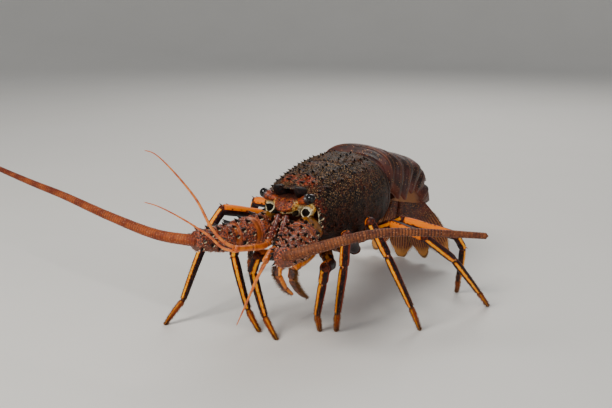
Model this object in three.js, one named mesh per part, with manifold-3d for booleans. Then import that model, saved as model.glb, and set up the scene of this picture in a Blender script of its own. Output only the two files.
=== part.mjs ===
import * as THREE from "three";
import { mergeVertices } from "three/addons/utils/BufferGeometryUtils.js";
import Module from "manifold-3d";

// Spiny lobster, life size, in millimetres. While it is modelled it faces -Y, its left side is
// +X, and it walks on z = 0. The last lines move the origin to the middle of its box, on the floor.

const wasm = await Module();
wasm.setup();

// Driving dimensions
const GAP = 0.3;
const CARAPACE_LENGTH = 100;
const CARAPACE_SIDES = 28;
const GROOVE_PLACE = 52;
const GROOVE_DEPTH = 1.9;
const RIM_GROOVE_DEPTH = 1.2;
const EYE_SPREAD = 19.5;
const EYE_HEIGHT = 106;
const CORNEA_RADIUS = 3.7;
const HORN_ROOT = 9;
const HORN_LENGTH = 14;
const HORN_RADIUS = 5.6;
const SPINE_SIDES = 5;
const ANTENNA_BASE_RADIUS = 12;
const FLAGELLUM_RADIUS = 4.3;
const STALK_STEPS = 9;
const STALK_RADIUS = 2.6;
const LEG_SIDES = 8;
const FOOT_RADIUS = 1.3;
const ABDOMEN_CURL = 1.5;
const LEAF_LENGTH = 15;
const LEAF_THICKNESS = 0.9;
const TAIL_FAN_LENGTH = 58;

// Half width, top and bottom of the carapace at places along it, from its front edge
const CARAPACE_STATIONS = [
  { at: 0, half: 21, top: 111, bottom: 78 },
  { at: 12, half: 27, top: 115.5, bottom: 70 },
  { at: 30, half: 31.5, top: 119.5, bottom: 65 },
  { at: 52, half: 35.5, top: 122.5, bottom: 62 },
  { at: 72, half: 37.5, top: 123.5, bottom: 60 },
  { at: 90, half: 37, top: 122.5, bottom: 60 },
  { at: 100, half: 34.5, top: 119, bottom: 62 },
];

// Back line of the abdomen in the YZ plane, from the carapace to the root of the tail fan
const BACK_LINE = [
  [101, 118.5],
  [109, 124.5],
  [120, 123],
  [133, 117.5],
  [150, 113],
  [168, 108.5],
  [184, 101.5],
  [198, 90.5],
  [208, 77],
  [213, 62],
];

const ABDOMEN = [
  { name: "abdomen_1", length: 13, half: 30.5, depth: 36, spur: 5 },
  { name: "abdomen_2", length: 21, half: 33, depth: 36, spur: 11 },
  { name: "abdomen_3", length: 22, half: 33.5, depth: 35, spur: 12 },
  { name: "abdomen_4", length: 22, half: 32.5, depth: 33, spur: 11 },
  { name: "abdomen_5", length: 21, half: 30.5, depth: 29, spur: 10 },
  { name: "abdomen_6", length: 24, half: 28, depth: 25, spur: 7 },
];

// Joints of each walking leg: root, hip, knee, wrist, ankle and foot
const LEGS = [
  {
    name: "leg_left_1",
    joints: [[9, 36, 57], [24, 20, 51], [34.5, -8, 58], [29, -1, 45], [19, 8, 14], [20.3, 10.5, 0]],
    girth: 1.05,
  },
  {
    name: "leg_left_2",
    joints: [[12, 50, 57], [35, 38, 60], [46.3, 1, 81], [43.6, 3.6, 58], [33.5, 13.5, 16], [30.8, 16.6, 0]],
    girth: 1.05,
  },
  {
    name: "leg_left_3",
    joints: [[15, 64, 57], [43, 50, 70], [58, 16.7, 89], [66.6, 27, 63.2], [79.8, 43.6, 19.8], [85, 50, 0]],
    girth: 1,
  },
  {
    name: "leg_left_4",
    joints: [[17, 78, 57], [48, 76, 72], [83.3, 56, 72], [96.3, 84.8, 48.6], [109, 112, 15], [113.8, 124, 0]],
    girth: 0.95,
  },
  {
    name: "leg_left_5",
    joints: [[19, 92, 57], [48, 95, 71], [89, 109, 60], [92, 118, 48], [83, 136, 13], [79.8, 142, 0]],
    girth: 0.85,
  },
  {
    name: "leg_right_1",
    joints: [[-9, 36, 57], [-21, 20, 51], [-18, -16, 60.5], [-23, -15.5, 48], [-11, -17.5, 15], [1, -20, 0]],
    girth: 1.05,
  },
  {
    name: "leg_right_2",
    joints: [[-12, 50, 57], [-33, 36, 57], [-43, -6.5, 70], [-46.5, -5, 54], [-31, -10, 14], [-18, -14, 0]],
    girth: 1.05,
  },
  {
    name: "leg_right_3",
    joints: [[-15, 64, 57], [-44, 48, 72], [-66, 9, 84], [-70, -3, 71], [-80, -27, 18], [-89, -39, 0]],
    girth: 1,
  },
  {
    name: "leg_right_4",
    joints: [[-17, 78, 57], [-47, 76, 72], [-78, 74, 75], [-86, 80, 58], [-97, 92, 15], [-101, 97, 0]],
    girth: 0.95,
  },
  {
    name: "leg_right_5",
    joints: [[-19, 92, 57], [-46, 95, 70], [-74, 118, 62], [-77, 130, 49], [-76, 155, 13], [-75, 161, 0]],
    girth: 0.85,
  },
];

const skin = {
  carapace: new THREE.MeshStandardMaterial({ color: 0x4a2c20, roughness: 0.6, metalness: 0 }),
  horn: new THREE.MeshStandardMaterial({ color: 0x2a1712, roughness: 0.35, metalness: 0 }),
  eye: new THREE.MeshStandardMaterial({ color: 0x0c0a0a, roughness: 0.08, metalness: 0 }),
  antenna: new THREE.MeshStandardMaterial({ color: 0x9a4a38, roughness: 0.55, metalness: 0 }),
  flagellum: new THREE.MeshStandardMaterial({ color: 0xb4642f, roughness: 0.6, metalness: 0 }),
  antennule: new THREE.MeshStandardMaterial({ color: 0xd9701e, roughness: 0.45, metalness: 0 }),
  leg: new THREE.MeshStandardMaterial({ color: 0x8a4a1c, roughness: 0.45, metalness: 0 }),
  abdomen: new THREE.MeshStandardMaterial({ color: 0x4d1f18, roughness: 0.5, metalness: 0 }),
  fan: new THREE.MeshStandardMaterial({ color: 0x6a3020, roughness: 0.5, metalness: 0 }),
};

const X = new THREE.Vector3(1, 0, 0);
const Y = new THREE.Vector3(0, 1, 0);
const Z = new THREE.Vector3(0, 0, 1);
const vec = (x, y, z) => new THREE.Vector3(x, y, z);
const mix = THREE.MathUtils.lerp;
const SIDES = [
  { word: "left", sign: 1 },
  { word: "right", sign: -1 },
];

// A closed loft through rings of points; a ring of one point is a tip
function loft(rings) {
  const positions = [];
  const index = [];
  const starts = rings.map((ring) => {
    const start = positions.length / 3;
    ring.forEach((p) => positions.push(p.x, p.y, p.z));
    return start;
  });
  for (let i = 0; i + 1 < rings.length; i++) {
    const [n, m] = [rings[i].length, rings[i + 1].length];
    const [a, b] = [starts[i], starts[i + 1]];
    for (let k = 0; k < Math.max(n, m); k++) {
      const l = (k + 1) % Math.max(n, m);
      if (n > 1) index.push(a + k, a + l, b + (m > 1 ? l : 0));
      if (m > 1) index.push(a + (n > 1 ? k : 0), b + l, b + k);
    }
  }
  capRing(index, starts[0], rings[0].length, false);
  capRing(index, starts.at(-1), rings.at(-1).length, true);
  const geometry = new THREE.BufferGeometry();
  geometry.setAttribute("position", new THREE.Float32BufferAttribute(positions, 3));
  geometry.setIndex(index);
  if (signedVolume(geometry) < 0) {
    for (let i = 0; i < index.length; i += 3) {
      [index[i + 1], index[i + 2]] = [index[i + 2], index[i + 1]];
    }
    geometry.setIndex(index);
  }
  return geometry;
}

function capRing(index, start, count, last) {
  for (let k = 1; k + 1 < count; k++) {
    if (last) index.push(start, start + k, start + k + 1);
    else index.push(start, start + k + 1, start + k);
  }
}

function signedVolume(geometry) {
  const place = geometry.getAttribute("position");
  const index = geometry.getIndex();
  const [a, b, c] = [vec(), vec(), vec()];
  let sum = 0;
  for (let i = 0; i < index.count; i += 3) {
    a.fromBufferAttribute(place, index.getX(i));
    b.fromBufferAttribute(place, index.getX(i + 1));
    c.fromBufferAttribute(place, index.getX(i + 2));
    sum += a.dot(b.cross(c));
  }
  return sum;
}

function solidOf(geometry) {
  const bare = geometry.clone();
  bare.deleteAttribute("normal");
  bare.deleteAttribute("uv");
  const merged = mergeVertices(bare, 1e-3);
  return new wasm.Manifold(
    new wasm.Mesh({
      numProp: 3,
      vertProperties: merged.getAttribute("position").array,
      triVerts: new Uint32Array(merged.getIndex().array),
    }),
  );
}

function geometryOf(solid) {
  const mesh = solid.getMesh();
  const geometry = new THREE.BufferGeometry();
  geometry.setAttribute("position", new THREE.BufferAttribute(mesh.vertProperties, 3));
  geometry.setIndex(new THREE.BufferAttribute(mesh.triVerts, 1));
  geometry.computeVertexNormals();
  return geometry;
}

function largest(solid) {
  return solid.decompose().reduce((a, b) => (b.volume() > a.volume() ? b : a));
}

const ringSolid = (rings) => solidOf(loft(rings));

function centreOf(ring) {
  return ring.reduce((sum, p) => sum.add(p), vec(0, 0, 0)).divideScalar(ring.length);
}

// The same rings a little larger all round, to cut a neighbour clear by the gap
function swell(rings, grow = GAP * 1.3) {
  const centres = rings.map(centreOf);
  const last = rings.length - 1;
  return rings.map((ring, i) => {
    const shift = vec(0, 0, 0);
    if (i === 0) shift.subVectors(centres[0], centres[1]).setLength(grow);
    if (i === last) shift.subVectors(centres[last], centres[last - 1]).setLength(grow);
    return ring.map((p) => {
      const out = vec().subVectors(p, centres[i]);
      if (out.length() > 0) out.setLength(out.length() + grow);
      return out.add(centres[i]).add(shift);
    });
  });
}

const trim = (solid, ...tools) => tools.reduce((left, tool) => left.subtract(tool), solid);

const cutBy = (solid, ...tools) => largest(trim(solid, ...tools));

// Rings across a bent line of points. Each ring lies in the plane that halves its bend, and sizes
// holds the half size along ref and the half size across it.
function tubeRings(points, sizes, ref, sides, ends = {}) {
  const count = points.length;
  return points.map((p, i) => {
    const into = vec().subVectors(p, points[Math.max(i - 1, 0)]).normalize();
    const out = vec().subVectors(points[Math.min(i + 1, count - 1)], p).normalize();
    const normal = vec().addVectors(into, out).normalize();
    if (i === 0 && ends.first) normal.copy(ends.first);
    if (i === count - 1 && ends.last) normal.copy(ends.last);
    const a = ref.clone().addScaledVector(normal, -ref.dot(normal)).normalize();
    const b = vec().crossVectors(normal, a);
    const turn = vec().subVectors(out, into);
    const bent = i > 0 && i < count - 1 && turn.length() > 0.02;
    const stretch = bent ? 1 / Math.max(normal.dot(into), 0.6) - 1 : 0;
    turn.normalize();
    const [ra, rb] = sizes[i];
    const ring = ringAround(sides, (angle) => {
      const v = vec(0, 0, 0);
      v.addScaledVector(a, ra * Math.cos(angle)).addScaledVector(b, rb * Math.sin(angle));
      if (bent) v.addScaledVector(turn, v.dot(turn) * stretch);
      return v.add(p);
    });
    ring.normal = normal;
    return ring;
  });
}

function ringAround(sides, point) {
  return Array.from({ length: sides }, (_, k) => point((2 * Math.PI * k) / sides));
}

// Part of a limb's rings, its cut ends drawn back by half the gap
function lengthOf(rings, from, to) {
  const part = rings.slice(from, to + 1).map((ring) => ring.map((p) => p.clone()));
  const drawBack = (ring, normal, way) => {
    ring.forEach((p) => p.addScaledVector(normal, way * (GAP / 2 + 0.02)));
  };
  if (from > 0) drawBack(part[0], rings[from].normal, 1);
  if (to < rings.length - 1) drawBack(part.at(-1), rings[to].normal, -1);
  return part;
}

function curveThrough(points) {
  return new THREE.CatmullRomCurve3(
    points.map((p) => vec(...p)),
    false,
    "centripetal",
  );
}

// A smooth value along a list of stations
function profile(stations, key) {
  const curve = new THREE.CatmullRomCurve3(
    stations.map((s) => vec(s.at, s[key], 0)),
    false,
    "chordal",
  );
  const samples = curve.getPoints(stations.length * 12);
  return (at) => {
    const next = samples.findIndex((s) => s.x >= at);
    if (next <= 0) return samples[next < 0 ? samples.length - 1 : 0].y;
    const [p, q] = [samples[next - 1], samples[next]];
    return mix(p.y, q.y, (at - p.x) / (q.x - p.x));
  };
}

const halfWidth = profile(CARAPACE_STATIONS, "half");
const topLine = profile(CARAPACE_STATIONS, "top");
const bottomLine = profile(CARAPACE_STATIONS, "bottom");

// A point of the carapace: share runs from its front edge to its rear edge with the neck groove
// half way, and angle from the back line round to the belly
function carapacePoint(share, angle, sink = 0) {
  const low = 1 - Math.cos(angle);
  const front = 3.5 * low;
  const groove = GROOVE_PLACE - 12 * low;
  const rear = CARAPACE_LENGTH - 1.5 + 3 * Math.sin(angle) ** 2;
  const y = share < 0.5 ? mix(front, groove, 2 * share) : mix(groove, rear, 2 * share - 1);
  const along = THREE.MathUtils.clamp(y, 0, CARAPACE_LENGTH);
  const [top, bottom] = [topLine(along), bottomLine(along)];
  const middle = mix(bottom, top, 0.47);
  const [s, c] = [Math.sin(angle), Math.cos(angle)];
  const high = c > 0 ? top - middle : middle - bottom;
  const power = c > 0 ? 0.92 : 0.8;
  const x = (halfWidth(along) - sink) * Math.sign(s) * Math.abs(s) ** power;
  return vec(x, y, middle + (high - sink) * Math.sign(c) * Math.abs(c) ** power);
}

function carapaceRings() {
  const shares = [0, 0.06, 0.14, 0.24, 0.34, 0.43, 0.47, 0.5, 0.53, 0.57, 0.66, 0.76, 0.86, 0.92];
  const rings = shares.map((share) => {
    const depth = share === 0.5 ? GROOVE_DEPTH : 0;
    return ringAround(CARAPACE_SIDES, (angle) => carapacePoint(share, angle, depth * upperShare(angle)));
  });
  const rim = [
    [0.945, RIM_GROOVE_DEPTH],
    [0.97, -0.2],
    [1, 1.2],
  ];
  rim.forEach(([share, depth]) => {
    rings.push(ringAround(CARAPACE_SIDES, (angle) => carapacePoint(share, angle, depth)));
  });
  return rings;
}

// 1 over the back and flanks, 0 under the belly
function upperShare(angle) {
  return 1 - THREE.MathUtils.smoothstep(1 - Math.cos(angle), 1.2, 1.8);
}

// Sternum, mouth field and antennular plate
function slabRings(stations) {
  return stations.map(({ y, half, low, high, narrow = 1 }) =>
    ringAround(12, (angle) => {
      const [s, c] = [Math.sin(angle), Math.cos(angle)];
      const x = half * Math.sign(s) * Math.abs(s) ** 0.6 * (c < 0 ? narrow : 1);
      return vec(x, y, mix(low, high, 0.5) + mix(0, high - low, 0.5) * Math.sign(c) * Math.abs(c) ** 0.6);
    }),
  );
}

const sternumRings = slabRings([
  { y: 27, half: 8, low: 55, high: 68 },
  { y: 45, half: 11, low: 52.5, high: 67 },
  { y: 70, half: 17, low: 51.5, high: 66 },
  { y: 98, half: 22, low: 52.5, high: 66 },
]);
const mouthRings = slabRings([
  { y: -5, half: 7, low: 66, high: 74, narrow: 0.8 },
  { y: 4, half: 12, low: 61, high: 78, narrow: 0.7 },
  { y: 16, half: 13, low: 58, high: 80, narrow: 0.6 },
  { y: 26, half: 11, low: 57, high: 80, narrow: 0.5 },
]);
const plateRings = slabRings([
  { y: 8, half: 13, low: 92, high: 104, narrow: 0.7 },
  { y: -3, half: 13.5, low: 92.5, high: 104.5, narrow: 0.65 },
  { y: -8, half: 12, low: 93, high: 103, narrow: 0.65 },
  { y: -12.5, half: 7.5, low: 94, high: 99.5, narrow: 0.85 },
]);

// Antenna: three stout segments and a long whip
const antennaLine = [
  [13, 12, 80],
  [14.5, -1, 80],
  [16, -8, 80],
  [19.5, -18, 80],
  [22, -26, 80],
  [25, -35, 80],
  [28, -44, 80.5],
  [33, -58, 82],
  [36, -67, 83],
];
const antennaSizes = [
  [11.4, 11.4],
  [ANTENNA_BASE_RADIUS, ANTENNA_BASE_RADIUS],
  [ANTENNA_BASE_RADIUS, ANTENNA_BASE_RADIUS],
  [11.9, 11.6],
  [11.6, 11],
  [10.4, 10],
  [9.6, 9.2],
  [7.6, 7.4],
  [6.6, 6.6],
];
const ANTENNA_CUTS = [0, 3, 5, 8];

const RIGHT_WHIP = [
  [-34, -64, 82.5],
  [-66, -68, 83.2],
  [-112, -66, 89.6],
  [-163, -62, 98.6],
  [-201, -58, 103.4],
  [-242, -53, 109],
  [-300, -44, 117],
  [-370, -30, 126],
  [-437, -14, 133],
];
const LEFT_WHIP = [
  [34, -64, 82.5],
  [46, -62, 86.5],
  [70, -47, 94.6],
  [85, -37.5, 98.4],
  [100, -28, 99.6],
  [122, -14.5, 98.7],
  [149, 1.5, 96.6],
];

function seeded(seed) {
  let state = seed;
  return () => {
    state = (state * 1664525 + 1013904223) % 4294967296;
    return state / 4294967296;
  };
}

// A spine with its root sunk in the surface at foot
function spine(foot, direction, length, radius) {
  const sunk = radius * 1.3;
  const cone = new THREE.ConeGeometry(radius, length + sunk, SPINE_SIDES);
  cone.translate(0, (length - sunk) / 2, 0);
  cone.applyQuaternion(new THREE.Quaternion().setFromUnitVectors(Y, direction.clone().normalize()));
  cone.translate(foot.x, foot.y, foot.z);
  return solidOf(cone);
}

const fuse = (host, pieces) => largest(pieces.reduce((whole, piece) => whole.add(piece), host));

// Spines on the carapace lean forward, largest behind the horns and over the back
const SPINE_ROWS = [11, 27, 45, 66, 88, 106];
const RIM_SPINES = [
  { angle: 22, length: 5, radius: 1.8 },
  { angle: 50, length: 5.5, radius: 1.9 },
  { angle: 74, length: 9, radius: 2.8 },
  { angle: 93, length: 5.5, radius: 1.9 },
  { angle: 110, length: 4.5, radius: 1.6 },
  { angle: 126, length: 4, radius: 1.4 },
];

function carapaceSpine(share, angle, length, radius, lean) {
  const foot = carapacePoint(share, angle);
  const along = carapacePoint(share + 0.01, angle).sub(foot).normalize();
  const round = carapacePoint(share, angle + 0.02).sub(foot).normalize();
  const outward = vec().crossVectors(along, round).normalize();
  if (outward.dot(vec(Math.sin(angle), 0, Math.cos(angle))) < 0) outward.negate();
  return spine(foot, outward.addScaledVector(along, -lean), length, radius);
}

function carapaceSpines() {
  const random = seeded(7);
  const spines = [];
  SIDES.forEach(({ sign }) => {
    SPINE_ROWS.forEach((degrees, row) => {
      const count = 10 - Math.floor(row / 2);
      for (let k = 0; k < count; k++) {
        const share = 0.075 + (0.83 * (k + (row % 2) * 0.5 + 0.3 * random())) / count;
        const angle = THREE.MathUtils.degToRad(degrees + 5 * (random() - 0.5)) * sign;
        const big = 1 - 0.6 * Math.sqrt(share) - 0.06 * row;
        const length = 6.6 * big + random();
        const clearOfGroove = Math.abs(share - 0.5) > 0.028;
        if (clearOfGroove) spines.push(carapaceSpine(share, angle, length, 0.9 + 0.9 * big, 0.9));
      }
    });
    RIM_SPINES.forEach(({ angle, length, radius }) => {
      const turned = THREE.MathUtils.degToRad(angle) * sign;
      spines.push(carapaceSpine(0.022, turned, length, radius, length > 8 ? 1.1 : 1.5));
    });
  });
  return spines;
}

// Spines on a tube of rings: place counts rings from its root, angle turns from its top
function tubeSpine(rings, place, degrees, length, radius, lean) {
  const i = Math.min(Math.floor(place), rings.length - 2);
  const sides = rings[i].length;
  const k = ((((degrees / 360) * sides) % sides) + sides) % sides;
  const corner = Math.floor(k);
  const at = (ring) => vec().lerpVectors(ring[corner], ring[(corner + 1) % sides], k - corner);
  const foot = vec().lerpVectors(at(rings[i]), at(rings[i + 1]), place - i);
  const centre = vec().lerpVectors(centreOf(rings[i]), centreOf(rings[i + 1]), place - i);
  const along = vec().subVectors(centreOf(rings[i + 1]), centreOf(rings[i])).normalize();
  const outward = vec().subVectors(foot, centre).normalize();
  return spine(foot, outward.addScaledVector(along, lean), length, radius);
}

const group = new THREE.Group();

function addNode(name, solid, material) {
  const mesh = new THREE.Mesh(geometryOf(solid), material);
  mesh.name = name;
  group.add(mesh);
}

const carapaceSwollen = ringSolid(swell(carapaceRings()));
const sternumSwollen = ringSolid(swell(sternumRings));
const mouthSwollen = ringSolid(swell(mouthRings));
const plateSwollen = ringSolid(swell(plateRings));

function buildTrunk() {
  const antennaRoots = SIDES.map(({ sign }) => ringSolid(swell(antennaRings(sign).slice(0, 4))));
  const eyesAndHorns = SIDES.flatMap(({ sign }) => [
    ringSolid(swell(hornRings(sign))),
    ringSolid(swell(eyeRings(sign))),
  ]);
  const spines = carapaceSpines().map((thorn) => trim(thorn, ...antennaRoots, ...eyesAndHorns, plateSwollen));
  addNode("carapace", fuse(ringSolid(carapaceRings()), spines), skin.carapace);
  addNode("sternum", cutBy(ringSolid(sternumRings), carapaceSwollen, mouthSwollen), skin.leg);
  addNode("mouth", cutBy(ringSolid(mouthRings), carapaceSwollen, ...antennaRoots), skin.antenna);
  const plateSpines = SIDES.flatMap(({ sign }) => [
    spine(vec(sign * 7.6, -8.5, 97), vec(sign * 0.16, -1, -0.05), 6, 2),
    spine(vec(sign * 4.4, -9, 101.5), vec(sign * 0.1, -1, 0.35), 3.4, 1.3),
  ]);
  const plate = cutBy(ringSolid(plateRings), carapaceSwollen, ...antennaRoots, ...eyesAndHorns);
  const cleared = plateSpines.map((thorn) => trim(thorn, ...antennaRoots));
  addNode("antennular_plate", fuse(plate, cleared), skin.antenna);
}

function antennaRings(sign) {
  const points = antennaLine.map(([x, y, z]) => vec(sign * x, y, z));
  return tubeRings(points, antennaSizes, Z, 14);
}

function hornRings(sign) {
  const line = curveThrough([
    [sign * 8.2, HORN_ROOT, 104],
    [sign * 8.6, HORN_ROOT - HORN_LENGTH * 0.43, 107],
    [sign * 8.8, HORN_ROOT - HORN_LENGTH * 0.75, 109.6],
    [sign * 8.6, HORN_ROOT - HORN_LENGTH, 112.8],
  ]).getSpacedPoints(6);
  const sizes = line.map((_, i) => mix(HORN_RADIUS, 0.5, (i / 6) ** 2.2)).map((r) => [r, r * 0.78]);
  return tubeRings(line, sizes, Z, 9);
}

function eyeRings(sign) {
  const stations = [
    [8.5, 4, 102.5, 2.6],
    [11, -3, 103.3, 2.5],
    [EYE_SPREAD - 5, -3.6, 104.6, 2.4],
    [EYE_SPREAD - 3, -3.4, EYE_HEIGHT - 0.8, CORNEA_RADIUS * 0.9],
    [EYE_SPREAD - 0.8, -3.1, EYE_HEIGHT - 0.2, CORNEA_RADIUS * 1.04],
    [EYE_SPREAD + 1.4, -2.8, EYE_HEIGHT + 0.4, CORNEA_RADIUS * 0.84],
    [EYE_SPREAD + 2.8, -2.6, EYE_HEIGHT + 0.8, CORNEA_RADIUS * 0.42],
  ];
  const line = stations.map(([x, y, z]) => vec(sign * x, y, z));
  return tubeRings(line, stations.map(([, , , r]) => [r, r]), Z, 10);
}

function buildHead({ word, sign }) {
  addNode("horn_" + word, cutBy(ringSolid(hornRings(sign)), carapaceSwollen), skin.horn);
  const hornSwollen = ringSolid(swell(hornRings(sign)));
  const eye = cutBy(ringSolid(eyeRings(sign)), carapaceSwollen, hornSwollen);
  addNode("eye_" + word, eye, skin.eye);
}

// Places of the spines on each antenna segment, counted in rings of the antenna
const ANTENNA_SPINES = [
  [1.7, 2.25, 2.72],
  [3.3, 4.05, 4.66],
  [5.35, 5.95, 6.5, 7.0, 7.6],
];

function antennaSpines(rings, segment, sign) {
  const random = seeded(31 + segment);
  return ANTENNA_SPINES[segment].flatMap((place, row) => {
    const turns = row % 2 ? [-96, -46, 2, 48, 100] : [-120, -72, -22, 24, 74, 122];
    const large = segment < 2 && row === ANTENNA_SPINES[segment].length - 1 ? 1.3 : 1;
    return turns
      .filter((degrees) => segment > 0 || Math.abs(degrees + 35) < 80)
      .map((degrees) => {
        const length = (3.3 + 1.1 * random()) * large;
        return tubeSpine(rings, place, sign * (degrees + 8 * random()), length, 1.15 * large, 0.95);
      });
  });
}

function buildAntenna({ word, sign }) {
  const rings = antennaRings(sign);
  const antennule = ANTENNULES.find((each) => each.word === word);
  const neighbours = [antennuleRings(antennule), sign > 0 ? leftWhip : rightWhip];
  const tools = [plateSwollen, ...neighbours.map((each) => ringSolid(swell(each)))];
  for (let i = 0; i + 1 < ANTENNA_CUTS.length; i++) {
    const length = ringSolid(lengthOf(rings, ANTENNA_CUTS[i], ANTENNA_CUTS[i + 1]));
    const bare = i === 0 ? cutBy(length, carapaceSwollen) : length;
    const spines = antennaSpines(rings, i, sign).map((thorn) => trim(thorn, ...tools));
    addNode("antenna_" + word + "_" + (i + 1), fuse(bare, spines), skin.antenna);
  }
}

function whipRings(points, steps, radiusAt) {
  const line = curveThrough(points).getSpacedPoints(steps);
  return tubeRings(line, line.map((_, i) => [radiusAt(i / steps), radiusAt(i / steps)]), Z, 8);
}

const rightWhip = whipRings(RIGHT_WHIP, 26, (t) => mix(FLAGELLUM_RADIUS, 0.5, t ** 0.8));
const leftWhip = whipRings(LEFT_WHIP, 12, (t) => mix(FLAGELLUM_RADIUS, 2.1, t ** 0.7));

function buildWhips() {
  const [leftStalk, rightStalk] = SIDES.map(({ sign }) => ringSolid(swell(antennaRings(sign))));
  const root = cutBy(ringSolid(lengthOf(rightWhip, 0, 12)), rightStalk);
  addNode("whip_right_1", root, skin.flagellum);
  addNode("whip_right_2", ringSolid(lengthOf(rightWhip, 12, 26)), skin.flagellum);
  addNode("whip_left", cutBy(ringSolid(leftWhip), leftStalk), skin.flagellum);
}

// Antennules: a jointed stalk and two thin whips each
const ANTENNULES = [
  {
    word: "right",
    rise: 1,
    stalk: [[-3.3, -9, 92.5], [-3, -17, 83], [-1.5, -28, 76], [-2.6, -46, 78], [-4.7, -65, 81.6]],
    outer: [
      [-4.7, -65, 81.6],
      [-9.5, -70, 87],
      [-16, -74, 97.5],
      [-25, -79, 118],
      [-47, -91, 147],
      [-53.5, -94, 149.5],
    ],
    inner: [
      [-4.7, -65, 81.6],
      [-10, -69.5, 83.5],
      [-17, -74.5, 91],
      [-32, -83, 103],
      [-47, -91, 112],
      [-55, -95, 114.6],
    ],
  },
  {
    word: "left",
    rise: -1,
    stalk: [[3.3, -9, 92.5], [4.6, -17, 83], [7.6, -28, 76], [11.6, -45, 76.5], [17, -59.5, 75]],
    outer: [[17, -59.5, 75], [14, -64, 66], [8.5, -67.5, 50], [3.5, -69, 38], [-0.5, -69.6, 29]],
    inner: [[17, -59.5, 75], [22, -67, 77.5], [34, -89, 84], [51, -119, 91]],
  },
];

function antennuleRings({ stalk }) {
  const line = curveThrough(stalk).getSpacedPoints(STALK_STEPS);
  const sizes = line.map(() => [STALK_RADIUS, STALK_RADIUS]);
  return tubeRings(line, sizes, Z, 8);
}

function buildAntennule(antennule) {
  const { word, rise, outer, inner } = antennule;
  const base = antennuleRings(antennule);
  const roots = SIDES.map(({ sign }) => ringSolid(swell(antennaRings(sign).slice(0, 4))));
  addNode("antennule_" + word, cutBy(ringSolid(base), plateSwollen, ...roots), skin.antennule);
  const away = base.at(-1).normal;
  const up = vec().crossVectors(X, away).normalize();
  if (up.z < 0) up.negate();
  const whip = (points, radius, side, steps) => {
    const moved = points.map(([x, y, z], i) => {
      const p = vec(x, y, z).addScaledVector(up, side * 1.35 * Math.max(0, 1 - i / 2));
      return i === 0 ? p.addScaledVector(away, GAP + 0.1) : p;
    });
    const line = new THREE.CatmullRomCurve3(moved, false, "centripetal").getSpacedPoints(steps);
    const sizes = line.map((_, i) => {
      const r = mix(radius, 0.3, (i / steps) ** 1.4);
      return [r, r];
    });
    return ringSolid(tubeRings(line, sizes, Z, 6, { first: away }));
  };
  addNode("antennule_" + word + "_outer", whip(outer, 1.15, rise, 14), skin.antennule);
  addNode("antennule_" + word + "_inner", whip(inner, 0.95, -rise, 12), skin.antennule);
}

// Third maxillipeds: folded forward under the mouth, then hanging down
function buildMaxilliped({ word, sign }) {
  const line = [
    [4.6, 29, 57],
    [6, 14, 53],
    [7, 2, 54],
    [6.5, -5.5, 52],
    [6, -7, 45],
    [6, -2, 36],
    [6, 8, 28],
    [5.5, 14, 23.5],
  ].map(([x, y, z]) => vec(sign * x, y, z));
  const sizes = [[3, 4], [3.2, 4.4], [3, 4], [2.6, 3.4], [2.5, 3.2], [2.2, 2.8], [1.5, 1.9], [0.7, 0.9]];
  const solid = ringSolid(tubeRings(line, sizes, X, 8));
  addNode("maxilliped_" + word, cutBy(solid, carapaceSwollen, sternumSwollen, mouthSwollen), skin.leg);
}

// A walking leg: its upper length ends in a rounded knee, which the lower length butts against
function buildLeg({ name, joints, girth }) {
  const [root, hip, knee, wrist, ankle, foot] = joints.map((p) => vec(...p));
  const between = (a, b, t) => vec().lerpVectors(a, b, t);
  const across = vec().subVectors(hip, knee).cross(vec().subVectors(foot, knee)).normalize();
  const stretch = (stations, ends) =>
    tubeRings(
      stations.map((station) => station[0]),
      stations.map((station) => [station[1] * girth, station[2] * girth]),
      across,
      LEG_SIDES,
      ends,
    );
  const upper = stretch([
    [root, 5.2, 5.2],
    [between(root, hip, 0.42), 5, 5.2],
    [between(root, hip, 0.62), 4.4, 4.6],
    [hip, 3.9, 4.3],
    [between(hip, knee, 0.14), 4.2, 4.6],
    [between(hip, knee, 0.55), 4, 4.4],
    [between(hip, knee, 0.92), 4.2, 4.6],
    [between(hip, knee, 1.02), 3.6, 3.6],
    [between(hip, knee, 1.07), 2, 2],
  ]);
  const lower = stretch(
    [
      [knee, 3.4, 3.4],
      [between(knee, wrist, 0.35), 3.6, 3.8],
      [between(knee, wrist, 0.85), 3.5, 3.7],
      [wrist, 2.9, 3],
      [between(wrist, ankle, 0.1), 3.2, 3.5],
      [between(wrist, ankle, 0.55), 2.8, 3],
      [between(wrist, ankle, 0.93), 2.4, 2.6],
      [ankle, 1.9, 2.1],
      [between(ankle, foot, 0.25), 2.1, 2.3],
      [between(ankle, foot, 0.7), 1.6, 1.7],
      [foot, FOOT_RADIUS / girth, FOOT_RADIUS / girth],
    ],
    { last: Z.clone().negate() },
  );
  const [upperSwollen, lowerSwollen] = [ringSolid(swell(upper)), ringSolid(swell(lower))];
  const bareUpper = cutBy(ringSolid(upper), carapaceSwollen, sternumSwollen);
  const bareLower = cutBy(ringSolid(lower), upperSwollen);
  const outer = across.dot(vec().crossVectors(vec().subVectors(knee, hip), Z)) > 0 ? 90 : -90;
  const kneeSpines = [
    tubeSpine(upper, 5.7, outer, 4 * girth, 1.3, 0.8),
    tubeSpine(upper, 4.8, outer, 2.6 * girth, 1, 0.8),
  ];
  const wristSpine = trim(tubeSpine(lower, 1.7, outer, 3 * girth, 1.1, 0.8), upperSwollen);
  addNode(name + "_upper", fuse(bareUpper, kneeSpines.map((thorn) => trim(thorn, lowerSwollen))), skin.leg);
  addNode(name + "_lower", fuse(bareLower, [wristSpine]), skin.leg);
}

// Abdomen
const backLine = curveThrough(BACK_LINE.map(([y, z]) => [0, y, z]));
const abdomenLength = ABDOMEN.reduce((sum, segment) => sum + segment.length, 0);

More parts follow.
